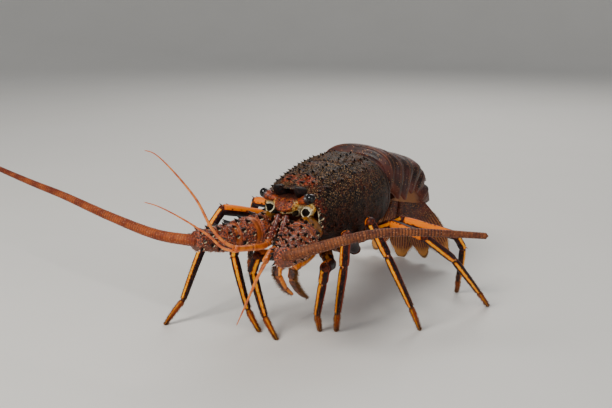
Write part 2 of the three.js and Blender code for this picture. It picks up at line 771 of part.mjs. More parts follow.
// The abdomen curls evenly, from level at the carapace to hanging at the tail fan
function backFrame(share) {
  const at = THREE.MathUtils.clamp(share, 0, 1);
  const curl = ABDOMEN_CURL * at ** 1.1;
  return {
    point: backLine.getPointAt(at),
    along: vec(0, Math.cos(curl), -Math.sin(curl)),
    down: vec(0, -Math.sin(curl), -Math.cos(curl)),
  };
}

// Ring across the abdomen: raised is how far the plate stands proud, spur how far the side
// points reach below the flank
function abdomenRing(frame, half, depth, raised, spur) {
  const shoulder = depth * 0.56;
  return ringAround(24, (angle) => {
    const [s, c] = [Math.sin(angle), Math.cos(angle)];
    const power = c > 0 ? 0.85 : 0.7;
    const span = Math.abs(s) ** power * Math.sign(s);
    const drop = Math.abs(c) ** power;
    const low = Math.exp(-(((Math.abs(Math.abs(angle - Math.PI) - 1.15)) / 0.34) ** 2));
    const inward = c > 0 ? shoulder - (shoulder + raised) * drop : shoulder + (depth - shoulder) * drop;
    return frame.point
      .clone()
      .addScaledVector(X, span * (half + raised) + Math.sign(s) * low * spur * 0.12)
      .addScaledVector(frame.down, inward + low * spur)
      .addScaledVector(frame.along, low * spur * 0.35);
  });
}

// Each segment: how far along, how far its plate stands proud and how far its side points reach
const SEGMENT_STEPS = [
  [0, -1.4, 0],
  [0.16, -1.2, 0.15],
  [0.3, -1.9, 0.45],
  [0.42, 0.5, 0.75],
  [0.66, 1, 1],
  [0.9, 0.9, 0.35],
  [1, -0.1, 0],
];

function segmentRings(i) {
  const { length, half, depth, spur } = ABDOMEN[i];
  const next = ABDOMEN[Math.min(i + 1, ABDOMEN.length - 1)];
  const start = ABDOMEN.slice(0, i).reduce((sum, segment) => sum + segment.length, 0);
  return SEGMENT_STEPS.map(([t, raised, reach]) => {
    const frame = backFrame((start + t * length) / abdomenLength);
    if (t === 0 || t === 1) frame.point.addScaledVector(frame.along, (t === 0 ? 0.5 : -0.5) * GAP);
    return abdomenRing(frame, mix(half, next.half, t), mix(depth, next.depth, t), raised, reach * spur);
  });
}

// Swimming leaves: a pair hangs under each of the middle segments
function swimmingLeaves(i) {
  const { length, depth } = ABDOMEN[i];
  const start = ABDOMEN.slice(0, i).reduce((sum, segment) => sum + segment.length, 0);
  const frame = backFrame((start + length / 2) / abdomenLength);
  return SIDES.map(({ sign }) => {
    const root = frame.point.clone().addScaledVector(frame.down, depth - 2).addScaledVector(X, sign * 14);
    const rings = [
      [0, 2.4],
      [0.35, 5.2],
      [0.75, 5],
      [1, 1.6],
    ].map(([t, half]) => {
      const centre = root.clone().addScaledVector(frame.down, t * LEAF_LENGTH);
      centre.addScaledVector(X, sign * 3 * t);
      return ringAround(6, (angle) =>
        centre
          .clone()
          .addScaledVector(X, half * Math.cos(angle))
          .addScaledVector(frame.along, LEAF_THICKNESS * Math.sin(angle) * (1 - 0.3 * t)),
      );
    });
    return ringSolid(rings);
  });
}

function buildAbdomen() {
  ABDOMEN.forEach(({ name }, i) => {
    const leaves = i > 0 && i < ABDOMEN.length - 1 ? swimmingLeaves(i) : [];
    addNode(name, fuse(ringSolid(segmentRings(i)), leaves), skin.abdomen);
  });
}

// A plate of the tail fan: width, thickness and rays along its length
function fanPlate({ root, along, across, length, halves, thick, rays }) {
  const facing = vec().crossVectors(across, along).normalize();
  const columns = 2 * rays + 1;
  return halves.map(([t, half, slim = 1]) => {
    const centre = root.clone().addScaledVector(along, t * length);
    const front = [];
    const back = [];
    for (let k = 0; k < columns; k++) {
      const u = (2 * k) / (columns - 1) - 1;
      const ray = k % 2 === 1 ? 0.35 : 0;
      const height = thick * slim * (1 - 0.75 * u * u) * 0.5 + 0.3 + ray * slim;
      const end = length * 0.1 * t * (1 - u * u);
      const foot = centre.clone().addScaledVector(across, u * half).addScaledVector(along, end);
      front.push(foot.clone().addScaledVector(facing, height));
      back.push(foot.clone().addScaledVector(facing, -height));
    }
    return [...front, ...back.reverse()];
  });
}

const FAN_HALVES = [
  [0, 0.36, 1],
  [0.14, 0.62, 1],
  [0.4, 0.9, 0.85],
  [0.68, 1, 0.6],
  [0.88, 0.86, 0.4],
  [1, 0.5, 0.3],
];

function buildTailFan() {
  const end = backFrame(1);
  const telson = { name: "telson", spread: 0, lift: 4.5, half: 13, length: 1, thick: 2.6, rays: 5, sign: 0 };
  const inner = { spread: 0.3, lift: 8.6, half: 10.5, length: 0.95, thick: 2, rays: 4 };
  const outer = { spread: 0.62, lift: 12.4, half: 11.5, length: 1, thick: 2, rays: 4 };
  const sidePlates = SIDES.flatMap(({ word, sign }) => [
    { name: `uropod_${word}_inner`, sign, ...inner },
    { name: `uropod_${word}_outer`, sign, ...outer },
  ]);
  const hang = vec(0, -0.02, -1).normalize();
  const lastRings = segmentRings(ABDOMEN.length - 1);
  const lastSwollen = ringSolid(swell(lastRings));
  [telson, ...sidePlates].forEach(({ name, spread, lift, half, length, thick, rays, sign }) => {
    const along = hang.clone().applyAxisAngle(Y, -sign * spread).normalize();
    const across = X.clone().applyAxisAngle(Y, -sign * spread);
    const root = end.point.clone().addScaledVector(end.down, lift).addScaledVector(end.along, -3);
    root.addScaledVector(X, sign * (4 + 12 * spread));
    const rings = fanPlate({
      root,
      along,
      across,
      length: TAIL_FAN_LENGTH * length,
      halves: FAN_HALVES.map(([t, h, slim]) => [t, h * half, slim]),
      thick,
      rays,
    });
    addNode(name, cutBy(ringSolid(rings), lastSwollen), skin.fan);
  });
}

buildTrunk();
SIDES.forEach(buildHead);
SIDES.forEach(buildAntenna);
buildWhips();
ANTENNULES.forEach(buildAntennule);
SIDES.forEach(buildMaxilliped);
LEGS.forEach(buildLeg);
buildAbdomen();
buildTailFan();

const box = new THREE.Box3().setFromObject(group);
const middle = box.getCenter(vec());
group.position.set(-middle.x, -middle.y, -box.min.z);
group.updateMatrixWorld(true);

export default group;
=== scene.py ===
import math

import bpy
import numpy as np
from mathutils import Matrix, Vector, noise


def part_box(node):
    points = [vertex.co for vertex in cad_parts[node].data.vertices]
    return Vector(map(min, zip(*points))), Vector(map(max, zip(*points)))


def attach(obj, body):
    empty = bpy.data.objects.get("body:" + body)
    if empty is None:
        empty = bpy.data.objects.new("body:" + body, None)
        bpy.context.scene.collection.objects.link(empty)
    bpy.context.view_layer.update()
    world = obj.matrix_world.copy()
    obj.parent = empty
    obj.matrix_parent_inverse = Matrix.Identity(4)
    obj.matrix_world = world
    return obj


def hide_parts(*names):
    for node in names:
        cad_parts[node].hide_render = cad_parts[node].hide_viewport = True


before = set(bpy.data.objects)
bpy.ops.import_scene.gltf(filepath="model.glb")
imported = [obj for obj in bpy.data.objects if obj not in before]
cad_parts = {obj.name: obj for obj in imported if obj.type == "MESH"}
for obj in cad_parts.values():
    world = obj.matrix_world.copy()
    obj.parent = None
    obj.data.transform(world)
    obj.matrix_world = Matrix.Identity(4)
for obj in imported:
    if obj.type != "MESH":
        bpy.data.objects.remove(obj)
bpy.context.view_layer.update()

# The animal's own measures are in millimetres. It faces -Y, its left side is +X and it walks on
# z = 0. SHIFT carries them to the frame's origin.
STERNUM_REAR = 98.0
MM = 0.001
telson_low, telson_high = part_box("telson")
SHIFT = np.array(
    [
        (telson_low.x + telson_high.x) / 2 / MM,
        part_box("sternum")[1].y / MM - STERNUM_REAR,
        0.0,
    ]
)
SIDES = (("left", 1), ("right", -1))
TURN = 2 * np.pi
X = np.array([1.0, 0.0, 0.0])
Y = np.array([0.0, 1.0, 0.0])
Z = np.array([0.0, 0.0, 1.0])

# The camera that was fitted to the photo, in the animal's millimetres
CAMERA_PLACE = (310.4, -513.1, 254.0)
CAMERA_AIM = (-0.484, 0.838, -0.250)
CAMERA_LENS = 50.0


# Sums on points and lines


def lerp(a, b, t):
    return a + (b - a) * t


def ease(value, low, high):
    """0 below low, 1 above high and smooth between"""
    t = np.clip((value - low) / (high - low), 0, 1)
    return t * t * (3 - 2 * t)


def hump(value, middle, width):
    return np.exp(-(((value - middle) / width) ** 2))


def unit(vectors):
    return vectors / np.maximum(np.linalg.norm(vectors, axis=-1, keepdims=True), 1e-12)


def placed(points):
    """The animal's millimetres as the frame's metres"""
    return (np.asarray(points, float) + SHIFT) * MM


def even(line, count):
    """The same line as evenly spaced points"""
    steps = np.linalg.norm(np.diff(line, axis=0), axis=1)
    at = np.concatenate([[0.0], np.cumsum(steps)])
    wanted = np.linspace(0, at[-1], count)
    return np.stack([np.interp(wanted, at, line[:, k]) for k in range(3)], axis=1)


def curve(points, count):
    """Evenly spaced points on a smooth line through a few points"""
    p = np.asarray(points, float)
    p = np.vstack([2 * p[0] - p[1], p, 2 * p[-1] - p[-2]])
    dense = []
    for a, b, c, d in zip(p, p[1:], p[2:], p[3:]):
        gaps = [np.linalg.norm(q - r) ** 0.5 for q, r in ((b, a), (c, b), (d, c))]
        k0, k1, k2, k3 = np.concatenate([[0.0], np.cumsum(gaps)])
        t = np.linspace(k1, k2, 24, endpoint=False)[:, None]
        ab = lerp(a, b, (t - k0) / (k1 - k0))
        bc = lerp(b, c, (t - k1) / (k2 - k1))
        cd = lerp(c, d, (t - k2) / (k3 - k2))
        abc = lerp(ab, bc, (t - k0) / (k2 - k0))
        bcd = lerp(bc, cd, (t - k1) / (k3 - k1))
        dense.append(lerp(abc, bcd, (t - k1) / (k2 - k1)))
    return even(np.vstack([*dense, p[-2]]), count)


def profile(places, values):
    """A smooth function through a few values"""
    places, values = np.asarray(places, float), np.asarray(values, float)
    slopes = np.gradient(values, places)

    def at(x):
        x = np.clip(x, places[0], places[-1])
        i = np.clip(np.searchsorted(places, x, side="right") - 1, 0, len(places) - 2)
        span = places[i + 1] - places[i]
        t = (x - places[i]) / span
        low = (1 + 2 * t) * (1 - t) ** 2 * values[i] + t * (1 - t) ** 2 * span * slopes[i]
        high = t * t * (3 - 2 * t) * values[i + 1] + t * t * (t - 1) * span * slopes[i + 1]
        return low + high

    return at


def turns(sides):
    return np.linspace(0, TURN, sides, endpoint=False)


def rings_along(line, heights, widths, up, sides):
    """Rings of points across a line, with a half height along up and a half width"""
    tangent = unit(np.gradient(line, axis=0))
    up = np.broadcast_to(np.asarray(up, float), line.shape)
    a = unit(up - tangent * (up * tangent).sum(1, keepdims=True))
    b = np.cross(tangent, a)
    angle = turns(sides)[None, :, None]
    heights = np.broadcast_to(heights, len(line))[:, None, None]
    widths = np.broadcast_to(widths, len(line))[:, None, None]
    return line[:, None] + heights * np.cos(angle) * a[:, None] + widths * np.sin(angle) * b[:, None]


def outward(rings):
    """The direction out of a loft at each of its points"""
    along = np.gradient(rings, axis=0)
    across = np.roll(rings, -1, 1) - np.roll(rings, 1, 1)
    normal = unit(np.cross(across, along))
    middle = rings.mean(1, keepdims=True)
    return normal * np.sign(((rings - middle) * normal).sum())


def roughness_at(points, size, seed=0.0):
    """Cloudy values from -1 to 1 at points, with lumps of the given size in millimetres"""
    flat = np.asarray(points, float).reshape(-1, 3) / size + seed
    values = np.array([noise.noise(Vector(p)) for p in flat])
    return values.reshape(np.asarray(points).shape[:-1])


def swollen(rings, heights):
    """The same rings with their surface raised by that many millimetres"""
    return rings + outward(rings) * heights[..., None]


def closeness(points, place, spread):
    """1 at a place, falling smoothly with the distance from it"""
    return np.exp(-(((points - place) ** 2).sum(-1)) / spread)


def folded(points):
    """Points of both sides brought to the left one"""
    return np.abs(points) * [1, 0, 0] + points * [0, 1, 1]


def mirrored(points, sign):
    return np.asarray(points, float) * [sign, 1, 1]


def at_share(line, share):
    """Points of a line at shares of its length"""
    shares = np.linspace(0, 1, len(line))
    return np.stack([np.interp(share, shares, line[:, k]) for k in range(3)], -1)


def rounded(value, power):
    """A sine or cosine raised to a power with its sign kept, which squares off a ring"""
    return np.sign(value) * np.abs(value) ** power


def seeded(seed):
    """Numbers from 0 to 1, the same ones for the same seed"""
    factor, step, whole = 1664525, 1013904223, 2**32
    state = seed
    while True:
        state = (state * factor + step) % whole
        yield state / whole


# Shaping pieces


class Shape:
    """Closed lofts that together make one piece, with a few named values kept at each point"""

    def __init__(self):
        self.points = []
        self.faces = []
        self.marks = {}
        self.size = 0

    def add(self, points, faces, marks):
        count = len(points)
        self.points.append(points)
        self.faces.extend([[corner + self.size for corner in face] for face in faces])
        for name in sorted(set(marks) | set(self.marks)):
            kept = self.marks.setdefault(name, [np.zeros(self.size)] if self.size else [])
            kept.append(np.broadcast_to(marks.get(name, 0.0), count).astype(float))
        self.size += count

    def loft(self, rings, **marks):
        """A closed surface through rings of points, with a fan at either end"""
        rows, sides = rings.shape[:2]
        points = np.vstack([rings.reshape(-1, 3), rings[0].mean(0), rings[-1].mean(0)])
        k = np.arange(sides)
        l = (k + 1) % sides
        start = np.arange(rows - 1)[:, None] * sides
        quads = np.stack([start + k, start + l, start + sides + l, start + sides + k], -1).reshape(-1, 4)
        first, last = rows * sides, rows * sides + 1
        low = np.stack([l, k, np.full(sides, first)], -1)
        high = np.stack([k, l, np.full(sides, last)], -1) + [(rows - 1) * sides, (rows - 1) * sides, 0]
        middle = rings.mean(1, keepdims=True)
        normal = np.cross(rings[1:, :] - rings[:-1, :], np.roll(rings, -1, 1)[:-1] - rings[:-1])
        inside_out = (normal * (rings - middle)[:-1]).sum() > 0
        faces = [*quads.tolist(), *low.tolist(), *high.tolist()]
        if inside_out:
            faces = [face[::-1] for face in faces]
        full = {}
        for name, value in marks.items():
            grid = np.broadcast_to(value, (rows, sides))
            full[name] = np.concatenate([grid.ravel(), [grid[0].mean(), grid[-1].mean()]])
        self.add(points, faces, full)
        return self

    def mesh(self, name):
        made = bpy.data.meshes.new(name)
        made.from_pydata(placed(np.vstack(self.points)).tolist(), [], self.faces)
        for mark, values in self.marks.items():
            layer = made.attributes.new(mark, "FLOAT", "POINT")
            layer.data.foreach_set("value", np.concatenate(values).astype(np.float32))
        made.shade_smooth()
        made.update()
        return made

    def piece(self, name, finish, slot, replaces=()):
        return settled(name, self.mesh(name), finish, replaces)


def linked(name, data):
    made = bpy.data.objects.new(name, data)
    bpy.context.scene.collection.objects.link(made)
    return made


def settled(name, mesh, finish, replaces=()):
    """A finished piece of the animal, in its place in the frame"""
    made = linked(name, mesh)
    mesh.materials.clear()
    mesh.materials.append(finish)
    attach(made, "root")
    if replaces:
        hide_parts(*replaces)
    return made


# Wiring of materials and geometry trees


class Wire:
    """A socket's value. Arithmetic on it adds Math nodes."""

    def __init__(self, wiring, socket):
        self.wiring = wiring
        self.socket = socket

    def math(self, operation, *terms):
        return self.wiring.node("ShaderNodeMath", {"operation": operation}, dict(enumerate(terms)))

    def __add__(self, other):
        return self.math("ADD", self, other)

    def __sub__(self, other):
        return self.math("SUBTRACT", self, other)

    def __rsub__(self, other):
        return self.math("SUBTRACT", other, self)

    def __mul__(self, other):
        return self.math("MULTIPLY", self, other)

    __radd__ = __add__
    __rmul__ = __mul__

    def most(self, other):
        return self.math("MAXIMUM", self, other)

    def over(self, low, high):
        """0 below low, 1 above high and smooth between; falling where low is above high"""
        return self.wiring.node(
            "ShaderNodeMapRange",
            {"interpolation_type": "SMOOTHSTEP"},
            {0: self, 1: low, 2: high},
        )


class Wiring:
    """Adds nodes to a tree: their settings first, then their sockets"""

    def __init__(self, tree):
        self.tree = tree

    def node(self, kind, settings=None, sockets=None, out=0):
        made = self.tree.nodes.new(kind)
        for key, value in (settings or {}).items():
            setattr(made, key, value)
        for place, value in (sockets or {}).items():
            if isinstance(value, Wire):
                self.tree.links.new(value.socket, made.inputs[place])
            else:
                made.inputs[place].default_value = value
        return Wire(self, made.outputs[out]) if made.outputs else None


def colour(code):
    """A six-figure colour code as linear red, green, blue and one"""
    parts = [int(code[i : i + 2], 16) / 255 for i in (0, 2, 4)]
    return (*(c / 12.92 if c <= 0.04045 else ((c + 0.055) / 1.055) ** 2.4 for c in parts), 1.0)


class Finish(Wiring):
    """A material, with patterns measured in millimetres on the piece"""

    def __init__(self, name, roughness=0.5, coat=0.0, coat_roughness=0.2, gloss=0.5):
        self.material = bpy.data.materials.new(name)
        self.material.use_nodes = True
        super().__init__(self.material.node_tree)
        self.shader = self.tree.nodes["Principled BSDF"]
        self.shader.inputs["Roughness"].default_value = roughness
        self.shader.inputs["Specular IOR Level"].default_value = gloss
        self.shader.inputs["Coat Weight"].default_value = coat
        self.shader.inputs["Coat Roughness"].default_value = coat_roughness
        whole = self.node("ShaderNodeTexCoord", out=3)
        self.place = self.node("ShaderNodeVectorMath", {"operation": "SCALE"}, {0: whole, 3: 1 / MM})

    def clouds(self, size, detail=3.0, stretch=None):
        place = self.place
        if stretch:
            place = self.node("ShaderNodeVectorMath", {"operation": "MULTIPLY"}, {0: place, 1: stretch})
        return self.node(
            "ShaderNodeTexNoise", sockets={"Vector": place, "Scale": 1 / size, "Detail": detail}
        )

    def grains(self, size, feature="F1", output="Distance", jitter=1.0):
        """Distance from the middle of grains of that size, or a colour that differs by grain"""
        return self.node(
            "ShaderNodeTexVoronoi",
            {"feature": feature},
            {"Vector": self.place, "Scale": 1 / size, "Randomness": jitter},
            out=output,
        )

    def chance(self, size):
        """A number from 0 to 1 that differs from grain to grain"""
        picked = self.grains(size, output="Color")
        return self.node("ShaderNodeSeparateColor", sockets={0: picked})

    def mark(self, name):
        return self.node("ShaderNodeAttribute", {"attribute_name": name}, out=2)

    def downward(self):
        """1 where the surface looks down, 0 where it looks up"""
        normal = self.node("ShaderNodeNewGeometry", out="Normal")
        up = self.node("ShaderNodeSeparateXYZ", sockets={0: normal}, out=2)
        return up.over(0.25, -0.2)

    def tint(self, factor, under, over):
        """One colour over another"""
        under = colour(under) if isinstance(under, str) else under
        over = colour(over) if isinstance(over, str) else over
        return self.node(
            "ShaderNodeMix", {"data_type": "RGBA"}, {0: factor, 6: under, 7: over}, out=2
        )

    def give(self, socket, wire):
        self.tree.links.new(wire.socket, self.shader.inputs[socket])
        return self

    def relief(self, height, depth):
        """Bump of that many millimetres"""
        made = self.node(
            "ShaderNodeBump", sockets={"Strength": 1.0, "Distance": depth * MM, "Height": height}
        )
        return self.give("Normal", made)

    def mottled(self, size, under, over, low=0.35, high=0.65):
        """Two colours in clouds of that size"""
        return self.tint(self.clouds(size).over(low, high), under, over)

    def flecks(self, size, none, whole, least, most):
        """1 in some of the grains: from the distance none to whole, by a chance of least to most"""
        return self.grains(size).over(none, whole) * self.chance(size).over(least, most)

    def done(self, base, height=None, depth=0.0):
        """The finished material in a base colour, with bump where a height is given"""
        self.give("Base Color", base)
        if height is not None:
            self.relief(height, depth)
        return self.material


# Spines and bristles


def spine_form(name, sides, levels):
    """One upright spine, one long and one wide at its foot, with rise running from 0 to 1"""
    rise = np.linspace(0, 1, levels)
    line = np.outer(rise * 1.14 - 0.14, Z)
    girth = 0.5 * (0.82 * (1 - rise) ** 0.9 + 0.38 * np.exp(-rise * 14)) + 0.012 * (1 - rise)
    rings = rings_along(line, girth, girth, X, sides)
    form = Shape().loft(rings, rise=rise[:, None])
    form.points = [np.vstack(form.points) / MM - SHIFT]
    made = linked(name, form.mesh(name))
    made.hide_render = True
    return made


def scatter_tree():
    """Sets a form on every point, turned to its aim and scaled to its size"""
    tree = bpy.data.node_groups.new("spines_on_points", "GeometryNodeTree")
    for name, kind in (
        ("Points", "NodeSocketGeometry"),
        ("Form", "NodeSocketObject"),
        ("Length", "NodeSocketFloat"),
        ("Girth", "NodeSocketFloat"),
        ("Unevenness", "NodeSocketFloat"),
        ("Seed", "NodeSocketInt"),
        ("Finish", "NodeSocketMaterial"),
    ):
        tree.interface.new_socket(name, in_out="INPUT", socket_type=kind)
    tree.interface.new_socket("Spines", in_out="OUTPUT", socket_type="NodeSocketGeometry")
    wiring = Wiring(tree)
    inputs = wiring.node("NodeGroupInput").socket.node

    def given(name):
        return Wire(wiring, inputs.outputs[name])

    def kept(name):
        return wiring.node(
            "GeometryNodeInputNamedAttribute", {"data_type": "FLOAT_VECTOR"}, {"Name": name}
        )

    turned = wiring.node(
        "FunctionNodeAlignRotationToVector", {"axis": "Z"}, {"Vector": kept("aim")}
    )
    uneven = wiring.node(
        "FunctionNodeRandomValue",
        {"data_type": "FLOAT"},
        {2: 1 - given("Unevenness"), 3: 1.0, "Seed": given("Seed")},
        out=1,
    )
    shares = wiring.node(
        "ShaderNodeCombineXYZ", sockets={0: given("Girth"), 1: given("Girth"), 2: given("Length") * uneven}
    )
    scale = wiring.node("ShaderNodeVectorMath", {"operation": "MULTIPLY"}, {0: kept("size"), 1: shares})
    form = wiring.node("GeometryNodeObjectInfo", sockets={"Object": given("Form")}, out="Geometry")
    set_out = wiring.node(
        "GeometryNodeInstanceOnPoints",
        sockets={"Points": given("Points"), "Instance": form, "Rotation": turned, "Scale": scale},
    )
    whole = wiring.node("GeometryNodeRealizeInstances", sockets={"Geometry": set_out})
    coated = wiring.node(
        "GeometryNodeSetMaterial", sockets={"Geometry": whole, "Material": given("Finish")}
    )
    wiring.node("NodeGroupOutput", sockets={"Spines": coated})
    return tree


SCATTER = scatter_tree()
STOUT_SPINE = spine_form("stout_spine_form", 10, 10)
SMALL_SPINE = spine_form("small_spine_form", 6, 5)


class Thorns:
    """Spines gathered for one piece: foot, aim, size and pale ring of each"""

    def __init__(self):
        self.feet = []
        self.aims = []
        self.sizes = []
        self.rings = []

    def add(self, foot, aim, length, radius, ringed=0.0):
        self.feet.append(foot)
        self.aims.append(unit(np.asarray(aim, float)))
        self.sizes.append([2 * radius * MM, 2 * radius * MM, length * MM])
        self.rings.append(ringed)

    def add_all(self, feet, aims, lengths, radii, ringed=0.0):
        for foot, aim, length, radius in zip(feet, aims, lengths, radii):
            self.add(foot, aim, length, radius, ringed)

    def mesh(self, name, form, finish, unevenness=0.0, seed=1):
        base = bpy.data.meshes.new(name + "_points")
        base.from_pydata(placed(self.feet).tolist(), [], [])
        for mark, values in (("aim", self.aims), ("size", self.sizes)):
            layer = base.attributes.new(mark, "FLOAT_VECTOR", "POINT")
            layer.data.foreach_set("vector", np.asarray(values, np.float32).ravel())
        layer = base.attributes.new("ringed", "FLOAT", "POINT")
        layer.data.foreach_set("value", np.asarray(self.rings, np.float32))
        carrier = linked(name + "_carrier", base)
        scatter = carrier.modifiers.new("spines", "NODES")
        scatter.node_group = SCATTER
        values = {
            "Form": form,
            "Length": 1.0,
            "Girth": 1.0,
            "Unevenness": unevenness,
            "Seed": seed,
            "Finish": finish,
        }
        for socket in SCATTER.interface.items_tree:
            if socket.in_out == "INPUT" and socket.name in values:
                scatter[socket.identifier] = values[socket.name]
        evaluated = carrier.evaluated_get(bpy.context.evaluated_depsgraph_get())
        made = bpy.data.meshes.new_from_object(evaluated)
        carrier.modifiers.remove(scatter)
        bpy.data.objects.remove(carrier)
        made.name = name
        for mark in ("aim", "size"):
            made.attributes.remove(made.attributes[mark])
        made.shade_smooth()
        return made

    def piece(self, name, form, finish, slot, unevenness=0.0, seed=1, replaces=()):
        return settled(name, self.mesh(name, form, finish, unevenness, seed), finish, replaces)


BRISTLE_PATCH = 0.0015


def bristles(name, roots, aims, lengths, widths, unwrap, finish, slot, droop=0.0, seed=3):
    """A coat of bent three-sided bristles. Each has its own patch of the OFBake map, at its
    root's place on the unwrapped shell."""
    roots, aims = np.asarray(roots, float), unit(np.asarray(aims, float))
    unwrap = np.asarray(unwrap, float)
    lengths = np.broadcast_to(lengths, len(roots))[:, None]
    widths = np.broadcast_to(widths, len(roots))[:, None]
    draw = np.random.default_rng(seed)
    side = unit(np.cross(aims, draw.normal(size=roots.shape)))
    other = np.cross(aims, side)
    angle = turns(3)
    spokes = np.cos(angle)[:, None, None] * side + np.sin(angle)[:, None, None] * other
    points, maps = [], []
    flat = np.stack([np.cos(angle), np.sin(angle)], 1)
    for share, girth in ((-0.12, 1.0), (0.5, 0.8)):
        middle = roots + aims * lengths * share + side * lengths * droop * max(share, 0.0) ** 2
        points.extend(middle + spoke * widths * girth for spoke in spokes)
        maps.extend(unwrap + BRISTLE_PATCH * girth * spoke for spoke in flat)
    points.append(roots + aims * lengths + side * lengths * droop)
    maps.append(unwrap)
    points = np.stack(points, 1)
    points[..., 2] = np.maximum(points[..., 2], 0.0)
    maps = np.stack(maps, 1)
    walls = [[k, (k + 1) % 3, 3 + (k + 1) % 3, 3 + k] for k in range(3)]
    tips = [[3 + k, 3 + (k + 1) % 3, 6] for k in range(3)] + [[2, 1, 0]]
    starts = (np.arange(len(roots)) * 7)[:, None, None]
    faces = (np.array(walls) + starts).reshape(-1, 4).tolist()
    faces += (np.array(tips) + starts).reshape(-1, 3).tolist()
    made = bpy.data.meshes.new(name)
    made.from_pydata(placed(points.reshape(-1, 3)).tolist(), [], faces)
    corners = np.empty(len(made.loops), np.int32)
    made.loops.foreach_get("vertex_index", corners)
    layer = made.uv_layers.new(name="OFBake")
    layer.uv.foreach_set("vector", maps.reshape(-1, 2)[corners].astype(np.float32).ravel())
    rise = made.attributes.new("rise", "FLOAT", "POINT")
    rise.data.foreach_set("value", np.tile([0, 0, 0, 0.5, 0.5, 0.5, 1], len(roots)).astype(np.float32))
    made.shade_smooth()
    made.update()
    return settled(name, made, finish)


# Carapace

CARAPACE_LENGTH = 100.0
GROOVE_PLACE = 52.0
GROOVE_DEPTH = 2.2
CARAPACE_PLACES = [0, 12, 30, 52, 72, 90, 100]
half_width = profile(CARAPACE_PLACES, [21, 27, 31.5, 35.5, 37.5, 37, 34.5])
top_line = profile(CARAPACE_PLACES, [111, 115.5, 119.5, 122.5, 123.5, 122.5, 119])
bottom_line = profile(CARAPACE_PLACES, [78, 70, 65, 62, 60, 60, 62])
RINGED_SPINE = np.array([16.0, -0.5, 94.0])
RED_PATCH = np.array([7.0, 13.0, 113.0])


def shell_point(share, angle, sink=0.0):
    """A point of the carapace: share runs from its front edge to its rear edge, with the neck
    groove half way, and angle from the back line round to the belly"""
    low = 1 - np.cos(angle)
    front = 3.5 * low
    groove = GROOVE_PLACE - 12 * low
    rear = CARAPACE_LENGTH - 1.5 + 3 * np.sin(angle) ** 2
    y = np.where(share < 0.5, lerp(front, groove, 2 * share), lerp(groove, rear, 2 * share - 1))
    along = np.clip(y, 0, CARAPACE_LENGTH)
    top, bottom = top_line(along), bottom_line(along)
    middle = lerp(bottom, top, 0.47)
    s, c = np.sin(angle), np.cos(angle)
    high = np.where(c > 0, top - middle, middle - bottom)
    power = np.where(c > 0, 0.92, 0.8)
    x = (half_width(along) - sink) * rounded(s, power)
    return np.stack([x, y, middle + (high - sink) * rounded(c, power)], -1)


def shell_frame(share, angle):
    """A point of the carapace, the way out of it and the way to the rear"""
    foot = shell_point(share, angle)
    along = unit(shell_point(share + 0.01, angle) - foot)
    across = unit(shell_point(share, angle + 0.02) - foot)
    out = unit(np.cross(along, across))
    away = np.stack([np.sin(angle), 0 * angle, np.cos(angle)], -1)
    return foot, out * np.sign((out * away).sum(-1, keepdims=True)), along


SPINE_ROWS = [11, 27, 45, 66, 88, 106]
# Degrees from the back line, length and radius of the spines round the front edge
RIM_SPINES = [(22, 5, 1.8), (50, 5.5, 1.9), (93, 5.5, 1.9), (110, 4.5, 1.6), (126, 4, 1.4)]
SMALL_SPINES = 860


def shell_spines():
    """Share, angle, length and radius of each spine of the carapace"""
    draw = seeded(7)
    placed_spines = []
    for _, sign in SIDES:
        for row, degrees in enumerate(SPINE_ROWS):
            count = 10 - row // 2
            for k in range(count):
                share = 0.075 + 0.83 * (k + row % 2 * 0.5 + 0.3 * next(draw)) / count
                angle = math.radians(degrees + 5 * (next(draw) - 0.5)) * sign
                big = 1 - 0.6 * math.sqrt(share) - 0.06 * row
                length = 6.6 * big + next(draw)
                if abs(share - 0.5) > 0.028:
                    placed_spines.append((share, angle, length, 0.95 + 0.95 * big))
    wide = np.random.default_rng(11)
    for _ in range(SMALL_SPINES):
        share = 0.05 + 0.87 * wide.random()
        angle = wide.uniform(-2.05, 2.05)
        size = wide.uniform(0.5, 1.0) * (1.15 - 0.6 * share)
        if abs(share - 0.5) > 0.02:
            placed_spines.append((share, angle, 2.6 * size, 0.75 * size))
    return np.array(placed_spines)


SHELL_SPINES = shell_spines()


def shell_rings(rows, sides):
    """The carapace's surface with its neck groove, gill grooves, rear rim and spine bosses"""
    share = np.linspace(0, 1, rows)[:, None]
    angle = turns(sides)[None, :]
    upper = 1 - ease(1 - np.cos(angle), 1.2, 1.8)
    turn_off = np.minimum(angle, TURN - angle)
    sink = GROOVE_DEPTH * hump(share, 0.5, 0.014) * upper
    sink = sink + 0.9 * hump(share, 0.945, 0.008) - 0.5 * hump(share, 0.972, 0.014)
    gill_line = 0.35 + 0.5 * (share - 0.5)
    gill = 0.8 * hump(turn_off, gill_line, 0.05)
    sink = sink + gill * ease(share, 0.52, 0.6) * (1 - ease(share, 0.88, 0.93))
    points = shell_point(share, angle, sink)
    _, out, _ = shell_frame(*(np.broadcast_to(values, (rows, sides)) for values in (share, angle)))
    bosses = np.zeros((rows, sides))
    feet = shell_point(SHELL_SPINES[:, 0], SHELL_SPINES[:, 1])
    for foot, radius in zip(feet, SHELL_SPINES[:, 3]):
        gap = ((points - foot) ** 2).sum(-1)
        bosses = np.maximum(bosses, 0.55 * radius * np.exp(-gap / (1.5 * radius) ** 2))
    lumps = 0.28 * roughness_at(points, 6.0) + 0.12 * roughness_at(points, 2.2, 9.0)
    calm = ease(share, 0.0, 0.03) * (1 - ease(share, 0.93, 0.96))
    return points + out * (bosses + lumps * calm)[..., None], share, angle


